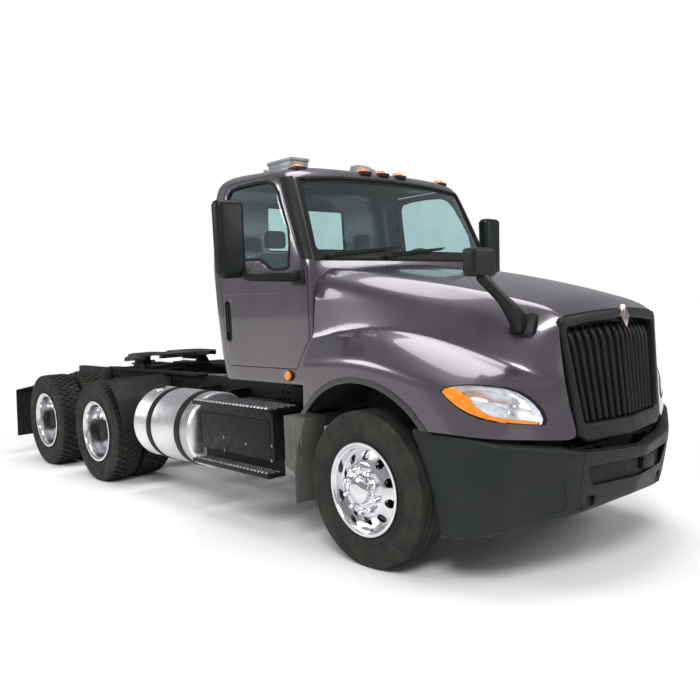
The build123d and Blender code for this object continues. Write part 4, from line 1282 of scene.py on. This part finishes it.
def makeCabGlass():
    shape = cabShape
    front, rear = (nearFront, shape["frontSpan"]), (nearRear, shape["rearSpan"])
    shield = framed("windshield", 0.007, 0.005, *front, grown(shape["shield"], -0.004))
    border = framed("windshieldBorder", 0.0055, 0.0020, *front, grown(shape["shield"], -0.002), shape["shieldClear"])
    ready(border, "grillePlastic", "chassis", (), 28)
    back = framed("rearPane", 0.007, 0.005, *rear, grown(shape["rearWindow"], -0.004))
    ready(joined("cabPanes", [shield, back]), "cabGlass", "chassis", ["cab_glass"], 28)
    seals = [framed(name, -0.0025, 0.014, *end, grown(shape[outline], 0.007), grown(shape[outline], -0.013), 0.002)
             for name, end, outline in (("shieldSeal", front, "shield"), ("rearSeal", rear, "rearWindow"))]
    ready(joined("windowSeals", seals), "rubber", "chassis", (), 32)
    # rubber strips down the windshield pillars
    strips = []
    for s in sides:
        strip = layer("pillarStrip", -0.003, 0.010, nearFront)
        keepIn(strip, prism("stripTool", [(s * x, z) for x, z in shape["pillar"]], "Y", 0.50, 0.985))
        strips.append(cut(strip, prism("doorKeep", grown(shape["door"], 0.012), "X", s * 0.80, s * 1.20)))
    ready(joined("pillarStrips", strips), "blackPlastic", "chassis", (), 32)


def makeDoor(s):
    shape, side = cabShape, sideName[s]
    body, there = "door_" + side, (nearDoor(s), ("X", s * 0.80, s * 1.20))
    door, window, pocket = shape["door"], shape["window"], shape["pocket"]
    panel = framed("doorPanel_" + side, 0, 0.022, *there, grown(door, 0), grown(window, 0))
    # swage line below the window
    cut(panel, rod("swageTool", 0.006, (s * 1.0530, 0.55, 1.795), (s * 1.0530, 1.80, 1.808), vertices=10))
    cut(panel, prism("pocketTool", pocket, "X", s * 1.00, s * 1.10))
    ready(softenEdges(panel, 0.0025, 2, 45), "purpleGreyPaint", body, ["door_" + side], 28)
    tray = prism("handlePocket", grown(pocket, 0.006), "X", s * 1.016, s * 1.052, 0.004, 2)
    cut(tray, prism("trayHole", grown(pocket, -0.006), "X", s * 1.030, s * 1.10))
    grip = prism("doorGrip", shape["grip"], "X", s * 1.034, s * 1.0535, 0.006, 3)
    lock = rod("doorLock", 0.009, (s * 1.034, 1.631, 1.482), (s * 1.046, 1.631, 1.482), 0.001, 20)
    ready(joined("doorHandle_" + side, [tray, grip, lock]), "blackPlastic", body, (), 32)
    pane = framed("doorPane_" + side, 0.009, 0.005, *there, grown(window, 0.004))
    ready(pane, "cabGlass", body, ["door_glass_" + side], 28)
    seal = framed("doorSeal_" + side, -0.0020, 0.016, *there, grown(window, 0.009), grown(window, -0.012), 0.002)
    ready(seal, "rubber", body, (), 32)
    card = framed("doorCard_" + side, 0.026, 0.014, *there, grown(door, -0.020), grown(window, 0.006), 0.003)
    ready(card, "shadedInteriorGrey", body, (), 32)
    rest = block("armRest_" + side, (s * 0.925, 1.02, 1.70), (s * 1.002, 1.55, 1.765), 0.018, 4)
    ready(rest, "shadedInteriorGrey", body, (), 32)


doorMirrorShape = {
    "arm": [    # centre of each ring, half breadth, half depth
        ((1.010, 0.705, 1.905), 0.042, 0.036), ((1.100, 0.712, 1.908), 0.036, 0.034),
        ((1.250, 0.760, 1.915), 0.036, 0.032), ((1.340, 0.830, 1.925), 0.042, 0.040),
        ((1.400, 0.905, 1.945), 0.050, 0.045)],
    "foot": [(0.642, 1.850), (0.760, 1.850), (0.775, 1.905), (0.742, 1.958), (0.650, 1.958)],
    # x and z, from and to
    "panes": [("mirrorPane", 1.372, 1.558, 2.115, 2.425), ("widePane", 1.376, 1.548, 1.945, 2.085)],
}


def makeDoorMirror(s):
    shape, side = doorMirrorShape, sideName[s]
    housing = block("mirrorHousing", (s * 1.350, 0.886, 1.912), (s * 1.580, 0.994, 2.450))
    for vertex in housing.data.vertices:
        if vertex.co.z < 2.0 and abs(vertex.co.x) > 1.5:
            vertex.co.x -= s * 0.012
    softenEdges(housing, 0.044, 6)
    arm = sweptArm("mirrorArm", [((s * x, y, z), breadth, depth) for (x, y, z), breadth, depth in shape["arm"]])
    foot = prism("mirrorFoot", shape["foot"], "X", s * 1.040, s * 1.072, 0.010, 3)
    body = "door_" + side
    ready(joined("mirror_body_" + side, [housing, arm, foot]), "mirrorPlastic", body, ["mirror_" + side], 50)
    panes = [block(name, (s * x0, 0.980, z0), (s * x1, 0.9975, z1), 0.008, 3)
             for name, x0, x1, z0, z1 in shape["panes"]]
    ready(joined("mirrorPanes_" + side, panes), "chrome", body, (), 40)


def onShield(x, z, lift):
    found, place, normal, face = cabSkin.ray_cast(Vector((x, axleY - 0.5, z)), Vector((0, 1, 0)))
    return Vector((place.x, place.y - lift - axleY, place.z))


def makeWipers():
    arms = []
    for pivotX, tipX, tipZ in cabShape["wipers"]:
        foot, mid = onShield(pivotX, 2.050, 0.022), onShield((pivotX + tipX) / 2, 2.088, 0.026)
        tip = onShield(tipX - 0.06, tipZ + 0.010, 0.020)
        arms.append(pipe("wiperArm", [foot, foot.lerp(mid, 0.5) + Vector((0, -0.008, 0.004)), mid, tip], 0.0065))
        ends = foot + Vector((0, 0.02, -0.01)), foot + Vector((0, -0.014, 0.006))
        arms.append(rod("wiperPivot", 0.017, *ends, 0.003, 24))
        blade = [onShield(pivotX + (tipX - pivotX) * t, 2.070 + (tipZ - 2.045) * t, 0.007)
                 for t in (0.12, 0.4, 0.7, 1.0)]
        arms.append(pipe("wiperBlade", blade, 0.0055))
    ready(joined("wipers", arms), "blackPlastic", "chassis", (), 50)


def makeMarkerLamps():
    lamps, bases = [], []
    for x, y in cabShape["roofLamps"]:
        found, place, normal, face = cabSkin.ray_cast(Vector((x, axleY + y, 3.2)), Vector((0, 0, -1)))
        y, z = place.y - axleY, place.z
        bases.append(block("lampBase", (x - 0.050, y - 0.050, z - 0.022), (x + 0.050, y + 0.060, z + 0.010), 0.008))
        lens = block("lampLens", (x - 0.042, y - 0.044, z - 0.004), (x + 0.042, y + 0.050, z + 0.034))
        for vertex in lens.data.vertices:
            if vertex.co.z > z:
                vertex.co.x = x + (vertex.co.x - x) * 0.62
                vertex.co.y = axleY + y + 0.012 + (vertex.co.y - axleY - y) * 0.55
        lamps.append(softenEdges(lens, 0.012, 4))
    for s in sides:
        for name, radius, near, far, soft, pieces in (
                ("sideLamp", 0.034, 1.042, 1.068, 0.011, lamps), ("sideLampBase", 0.040, 1.030, 1.047, 0.004, bases)):
            pieces.append(rod(name, radius, (s * near, *cabShape["sideLamp"]), (s * far, *cabShape["sideLamp"]), soft))
    ready(joined("markerLenses", lamps), "amberLens", "chassis", ["marker_lamps"], 40)
    ready(joined("markerBases", bases), "blackPlastic")


def makeRoofFittings():
    vent = block("roofVent", (-0.790, 1.060, 2.735), (-0.620, 1.360, 2.824), 0.014, 3)
    lid = block("ventLid", (-0.796, 1.052, 2.804), (-0.614, 1.368, 2.833), 0.010, 3)
    foot = block("ventFoot", (-0.812, 1.036, 2.715), (-0.598, 1.384, 2.762), 0.010, 2)
    podOutline = [(1.000, 2.740), (1.020, 2.800), (1.110, 2.845), (1.190, 2.848), (1.225, 2.760), (1.225, 2.740)]
    pod = prism("antennaPod", podOutline, "X", -0.068, 0.068, 0.016, 4)
    knob = rod("roofKnob", 0.018, (-0.62, 1.62, 2.775), (-0.62, 1.62, 2.832), 0.006, 20)
    ready(joined("roofFittings", [vent, lid, foot, pod, knob]), "roofBoxGrey", "chassis", ["roof_fittings"], 32)


cabSkin = cage("cabSkin", cabRows(), [(4, 0.25)], 2)
makeCabShell()
makeCabGlass()
for s in sides:
    makeDoor(s)
    makeDoorMirror(s)
makeWipers()
makeMarkerLamps()
makeRoofFittings()
bpy.data.objects.remove(cabSkin)
print("stage: cab, doors and mirrors are made")


# frame, tanks and steps

def dressed(nodeName, name, width, finishName, body="chassis", angle=30):
    # the solid itself with its edges softened
    piece = bpy.data.objects.new(name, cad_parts[nodeName].data.copy())
    bpy.context.scene.collection.objects.link(piece)
    openAll(piece)
    bpy.ops.mesh.remove_doubles(threshold=0.0001)
    bpy.ops.mesh.dissolve_limited(angle_limit=math.radians(1.0))
    closeUp()
    return ready(softenEdges(piece, width, 2, angle), finishName, body, [nodeName], 35)


def aboutY(name, profile, x, y, z, steps):
    # a turned piece whose axis runs along the truck
    piece = turned(name, profile, 0, 0, 0, steps)
    piece.data.transform(shift(x, axleY + y, z) @ Matrix.Rotation(math.radians(90), 4, "Z") @ shift(y=-axleY))
    return piece


def bothEnds(end):
    return [(a, -b) for a, b in reversed(end)] + end


def boltHead(place, direction, radius, height):
    return rod("bolt", radius, place, Vector(place) + Vector(direction) * height, 0, 6)


tankShape = {"x": 0.860, "z": 0.650, "front": 2.080, "rear": 3.130, "radius": 0.330,
    "straps": (2.270, 2.770), "neckY": 2.985}


def makeTanks():
    shape = tankShape
    middle, half, r = (shape["front"] + shape["rear"]) / 2, (shape["rear"] - shape["front"]) / 2, shape["radius"]
    end = [(r, half - 0.060), (r + 0.0022, half - 0.056), (r + 0.0022, half - 0.050), (r, half - 0.046),
        (r - 0.006, half - 0.026), (r - 0.030, half - 0.010), (r - 0.090, half - 0.003), (0.001, half)]
    band = [(r + 0.0005, -0.042), (r + 0.0042, -0.041), (r + 0.0042, 0.041), (r + 0.0005, 0.042)]
    near, far = shape["x"] - r * 0.94, shape["x"] - r * 0.78    # x of the strap bolts' ends
    tanks, caps, tensioners = [], [], []
    for s in sides:
        x = s * shape["x"]
        tanks.append(aboutY("tank", bothEnds(end), x, middle, shape["z"], 96))
        neck = Vector((s * 0.25, 0, 0.968)).normalized()
        foot = Vector((x, shape["neckY"], shape["z"])) + neck * (r - 0.01)
        tanks.append(rod("neck", 0.048, foot, foot + neck * 0.030, 0.004))
        caps.append(rod("tankCap", 0.055, foot + neck * 0.030, foot + neck * 0.046, 0.006, 24))
        for y in shape["straps"]:
            for lift in (-0.010, 0.046):
                ends = (s * near, y + 0.035, 0.802 + lift), (s * far, y + 0.035, 0.902 + lift * 0.6)
                tensioners.append(rod("tBolt", 0.008, *ends, 0.001, 12))
            tensioners.append(block("strapLug", (s * 0.560, y + 0.010, 0.850), (s * 0.600, y + 0.060, 0.885), 0.005))
            ready(aboutY("strapLiner", band, x, y + 0.035, shape["z"], 96), "rubber", "chassis", (), 40)
    ready(joined("fuelTanks", tanks), "tankAluminium", "chassis", ["fuel_tanks"])
    ready(joined("tankCaps", caps), "blackPlastic")
    ready(joined("strapBolts", tensioners), "chassisBlack")


def teeth(name, rows, size, height):
    # rows of small raised teeth: (x, first y, last y, z, spacing)
    points, faces = [], []
    corners = ((-1, -0.8, 0), (1, -0.8, 0), (1, 0.8, 0), (-1, 0.8, 0), (-0.4, 0, height), (0.4, 0, height))
    for x, y0, y1, z, spacing in rows:
        for k in range(int((y1 - y0) / spacing)):
            y = axleY + y0 + spacing * (k + 0.5)
            first = len(points)
            points += [(x + size * across, y + size * along, z + up) for across, along, up in corners]
            faces += [tuple(first + i for i in face)
                      for face in ((0, 1, 5, 4), (1, 2, 5), (2, 3, 4, 5), (3, 0, 4), (3, 2, 1, 0))]
    return cleanNormals(addPiece(name, points, faces), 0)


stepShape = {    # rows across, then y from and to, height and pitch
    "upperRows": (0.925, 0.985, 1.045, 1.105, 1.165), "upper": (0.95, 2.00), "lower": (0.99, 2.03),
    "lowerRows": (1.075, 1.120, 1.168), "pitch": 0.030, "edgePitch": 0.047,
    "lips": ((0.9555, 0.932, 2.008), (0.4705, 0.972, 2.038)),    # z, y from and to
    "bolts": [(1.644, 0.677), (1.337, 0.655), (0.999, 0.677), (1.638, 0.572), (1.008, 0.564)],    # y, z
}


def makeSteps():
    shape = stepShape
    dressed("step_boxes", "stepBoxes", 0.004, "chassisBlack")
    rows, edges, bolts, lips = [], [], [], []
    for s in sides:
        rows += [(s * x, *shape["upper"], 0.9545, shape["pitch"]) for x in shape["upperRows"]]
        rows += [(s * x, *shape["lower"], 0.4695, shape["pitch"]) for x in shape["lowerRows"]]
        for z, y0, y1 in shape["lips"]:
            lips.append(block("treadLip", (s * 1.1885, y0, z - 0.026), (s * 1.1965, y1, z + 0.006), 0.003))
        bolts += [boltHead((s * 1.129, y, z), (s, 0, 0), 0.0125, 0.009) for y, z in shape["bolts"]]
        lips.append(block("stepPanel", (s * 1.128, 1.02, 0.625), (s * 1.136, 1.94, 0.860), 0.004))
        edges.append((s * 1.184, *shape["upper"], 0.9600, shape["edgePitch"]))
        edges.append((s * 1.180, *shape["lower"], 0.4740, shape["edgePitch"]))
    ready(teeth("treadTeeth", rows, 0.0095, 0.010), "plainSteel", "chassis", (), 20)
    ready(teeth("edgeTeeth", edges, 0.0135, 0.014), "tankAluminium", "chassis", (), 20)
    ready(joined("stepTrim", lips), "chassisBlack")
    ready(joined("stepBolts", bolts), "plainSteel")


frameShape = {
    "boltGroups": (-0.97, 1.73, 2.43, 3.03, 3.59, 4.22, 5.0, 5.63, 6.04),
    "airTanks": ((-0.20, 2.52, 2.96, 0.80), (0.20, 2.52, 2.96, 0.80), (0.0, 3.12, 3.52, 0.74)),    # x, y from and to, z
    "airLines": ((-0.395, 3.02), (-0.365, 2.98), (-0.335, 2.90), (0.395, 3.00)), "airStart": (1.86, 1.052),    # x, y to
    "deck": (1.98, 2.16, 2.34),
    "tailLens": [(0.001, 0.018), (0.034, 0.016), (0.046, 0.010), (0.049, 0.0), (0.001, 0.0)],
    "tailRing": [(0.001, 0.004), (0.054, 0.004), (0.056, -0.004), (0.056, -0.010), (0.001, -0.010)],
    "tailLamps": [(s * x, 6.083, 0.915) for s in sides for x in (0.20, 0.33)],
}


def makeFrameDetails():
    shape = frameShape
    bolts, plates = [], []
    for s in sides:
        bolts += [boltHead((s * 0.431, y + dy, z), (s, 0, 0), 0.013, 0.010)
                  for y in shape["boltGroups"] for dy in (-0.035, 0.035) for z in (0.840, 0.900, 0.960)]
        bolts += [boltHead((s * 0.405, 2.15 + 0.33 * k, 1.0395), (0, 0, 1), 0.011, 0.008) for k in range(12)]
        bolts += [boltHead((s * 0.479, y, z), (s, 0, 0), 0.014, 0.010)
                  for y in (4.48, 4.66) for z in (0.74, 0.82, 0.90)]
        for name, x0, x1, y0, y1, z0, z1, soft in (
                ("hangerPlate", 0.432, 0.444, 3.70, 3.98, 0.79, 1.03, 0.005),
                ("hangerPlate", 0.432, 0.444, 5.12, 5.40, 0.79, 1.03, 0.005),
                ("cabSupport", 0.33, 0.432, 1.58, 1.75, 1.04, 1.075, 0.006)):
            plates.append(block(name, (s * x0, y0, z0), (s * x1, y1, z1), soft))
    ready(joined("frameBolts", bolts), "castBlack")
    ready(joined("framePlates", plates), "chassisBlack")
    tanks = []
    for x, y0, y1, z in shape["airTanks"]:
        half = (y1 - y0) / 2
        end = [(0.105, half - 0.05), (0.100, half - 0.022), (0.080, half - 0.006), (0.001, half)]
        tanks.append(aboutY("airTank", bothEnds(end), x, (y0 + y1) / 2, z, 48))
    ready(joined("airTanks", tanks), "chassisBlack")
    lines = []
    y0, z = shape["airStart"]
    for x, y1 in shape["airLines"]:
        bends = [(x, y0, z), (x + 0.002, (y0 * 2 + y1) / 3, z), (x - 0.002, (y0 + y1 * 2) / 3, z), (x, y1, z)]
        lines.append(pipe("airLine", bends, 0.010))
    lines += [block("lineClamp", (-0.415, y, 1.040), (-0.318, y + 0.022, 1.066), 0.004) for y in (2.0, 2.35, 2.7)]
    ready(joined("airLines", lines), "hoseGrey", "chassis", (), 40)
    deck = [block("deckStrip", (-0.40, y, 1.041), (0.40, y + 0.085, 1.056), 0.004) for y in shape["deck"]]
    for y in shape["deck"]:
        rows = [(-0.36 + 0.06 * k, y + 0.006, y + 0.080, 1.0555, 0.024) for k in range(13)]
        deck.append(teeth("deckTeeth", rows, 0.007, 0.006))
    ready(joined("deckStrips", deck), "plainSteel")
    for part, name, finishName in (("tailLens", "tailLamps", "redPlastic"), ("tailRing", "tailLampRings", "rubber")):
        lamps = [aboutY(part, shape[part], *place, 36) for place in shape["tailLamps"]]
        ready(joined(name, lamps), finishName, "chassis", (), 40)


def makeGuards():
    for nodeName, name, width, finishName in (
            ("splash_guards", "splashGuards", 0.014, "guardGrey"),
            ("quarter_fenders", "quarterFenders", 0.003, "blackPlastic"),
            ("mud_flaps", "mudFlaps", 0.003, "rubber"),
            ("frame_rails", "frameRails", 0.004, "chassisBlack"),
            ("crossmembers", "crossBeams", 0.003, "chassisBlack")):
        dressed(nodeName, name, width, finishName)
    ribs = []
    for s in sides:
        for k in range(3):
            y = 0.60 + 0.065 * k
            ribs.append(block("guardRib", (s * 1.160, y, 0.72 - 0.05 * k), (s * 1.168, y + 0.012, 0.90), 0.003))
        for x in (0.99, 1.06, 1.13):
            ribs.append(block("flapRib", (s * x, 0.686, 0.33), (s * (x + 0.010), 0.692, 0.54), 0.002))
    ready(joined("guardRibs", ribs), "guardGrey")


def makeFifthWheel():
    dressed("fifth_wheel_plate", "topPlate", 0.004, "greasySteel", "fifth_wheel_top")
    dressed("fifth_wheel_saddle", "fifthWheelBase", 0.004, "chassisBlack", "fifth_wheel_slider")
    beads = [block("greaseBead", (s * 0.13, y, 1.2245), (s * 0.42, y + 0.014, 1.2275), 0.0010, 1)
             for s in sides for y in (4.27, 4.355, 4.44, 4.525)]
    ready(joined("greaseLines", beads), "castBlack", "fifth_wheel_top")
    handle = [(-0.30, 4.30, 1.150), (-0.45, 4.29, 1.148), (-0.56, 4.27, 1.140), (-0.60, 4.25, 1.138)]
    bits, racks = [pipe("releaseHandle", handle, 0.009)], []
    for s in sides:
        bits.append(rod("pivotCap", 0.032, (s * 0.424, 4.45, 1.150), (s * 0.436, 4.45, 1.150), 0.004, 24))
        bits.append(block("jaw", (s * 0.034, 4.40, 1.160), (s * 0.090, 4.52, 1.205), 0.008))
    ready(joined("fifthWheelBits", bits), "castBlack", "fifth_wheel_top")
    for s in sides:
        racks.append(teeth("railTeeth", [(s * 0.486, 3.08, 5.08, 1.0615, 0.055)], 0.013, 0.016))
        racks.append(block("railEdge", (s * 0.494, 3.052, 1.040), (s * 0.503, 5.098, 1.066), 0.003))
        racks += [boltHead((s * 0.452, 3.12 + 0.17 * k, 1.0618), (0, 0, 1), 0.012, 0.002) for k in range(12)]
    ready(joined("slideRacks", racks), "castBlack")


makeTanks()
makeSteps()
makeFrameDetails()
makeGuards()
makeFifthWheel()
print("stage: frame, tanks and steps are made")


# cab interior

seatShape = {
    "x": 0.50, "flat": (1, 0.02), "steep": (0.13, 1),    # the way each cushion runs, along y and z
    "section": ((-1, -0.55), (-0.88, -1), (0, -1), (0.88, -1), (1, -0.55), (1, 0.70), (0.80, 1.12), (0.52, 0.84),
        (0, 0.92), (-0.52, 0.84), (-0.80, 1.12), (-1, 0.70)),
    "cushion": ((0, 1.525, 0.045), (0.25, 1.540, 0.058), (1, 1.545, 0.060), (2.2, 1.540, 0.058), (3.6, 1.535, 0.056),
        (4.9, 1.535, 0.052), (5.1, 1.530, 0.040)),
    "back": ((0, 0.200, 0.036), (0.2, 0.220, 0.046), (1.2, 0.226, 0.050), (2.6, 0.226, 0.050), (4.2, 0.220, 0.046),
        (5.6, 0.205, 0.040), (5.9, 0.190, 0.030)),
    "rest": ((0, 0.085, 0.024), (0.3, 0.100, 0.032), (2.0, 0.104, 0.034), (4.2, 0.100, 0.032), (4.9, 0.085, 0.022)),
}


def pad(name, along, rows):
    # a crowned cushion from rows of (centre, half breadth, half depth) along its length
    up = Vector((0, -along[1], along[0])).normalized()
    section = seatShape["section"]
    points = [Vector((x + breadth * u, axleY + y, z)) + up * depth * v
              for (x, y, z), breadth, depth in rows for u, v in section]
    return roundOff(cleanNormals(addPiece(name, points, stripFaces(len(section), len(rows), True, True))), 3)


def makeSeats():
    shape = seatShape
    for s in sides:
        x, side = s * shape["x"], sideName[s]
        cushion = pad("seatCushion_" + side, shape["flat"],
                      [((x, 1.165 + 0.09 * k, z), 0.240, d) for k, z, d in shape["cushion"]])
        back = pad("seatBack_" + side, shape["steep"],
                   [((x, 1.620 + 0.014 * k, 1.625 + 0.09 * k), b, d) for k, b, d in shape["back"]])
        rest = pad("headRest_" + side, shape["steep"],
                   [((x, 1.690, 2.195 + 0.03 * k), b, d) for k, b, d in shape["rest"]])
        for piece, full in ((cushion, 0.7), (back, 0.75), (rest, 0.8)):
            ready(piece, "seatCloth", "chassis", ["seats"] if piece is cushion and s < 0 else (), 60)
        pedestal = [block("seatBase_" + side, (x - 0.19, 1.21, 1.185), (x + 0.19, 1.59, 1.42), 0.03, 3)]
        for k in range(4):
            half, low = 0.17 + 0.012 * (k % 2), 1.405 + 0.022 * k
            pedestal.append(block("bellows", (x - half, 1.24, low), (x + half, 1.56, low + 0.020), 0.006))
        ready(joined("seatPedestal_" + side, pedestal), "blackPlastic")


def makeDash():
    dressed("dashboard", "dashTop", 0.012, "shadedInteriorGrey", angle=40)
    dressed("steering_wheel", "steeringRim", 0.0, "blackPlastic", "steering_wheel")
    bits = [block("binnacle", (0.30, 0.80, 1.93), (0.70, 0.985, 2.030), 0.03, 4),
            block("console", (-0.16, 0.87, 1.62), (0.24, 1.01, 1.88), 0.02, 3)]
    for x in (-0.85, -0.45, -0.05, 0.86):
        bits.append(block("dashVent", (x - 0.06, 0.945, 1.80), (x + 0.06, 0.990, 1.87), 0.012, 3))
    ready(joined("dashBits", bits), "blackPlastic", "chassis", (), 35)


makeSeats()
makeDash()
print("stage: interior is made")
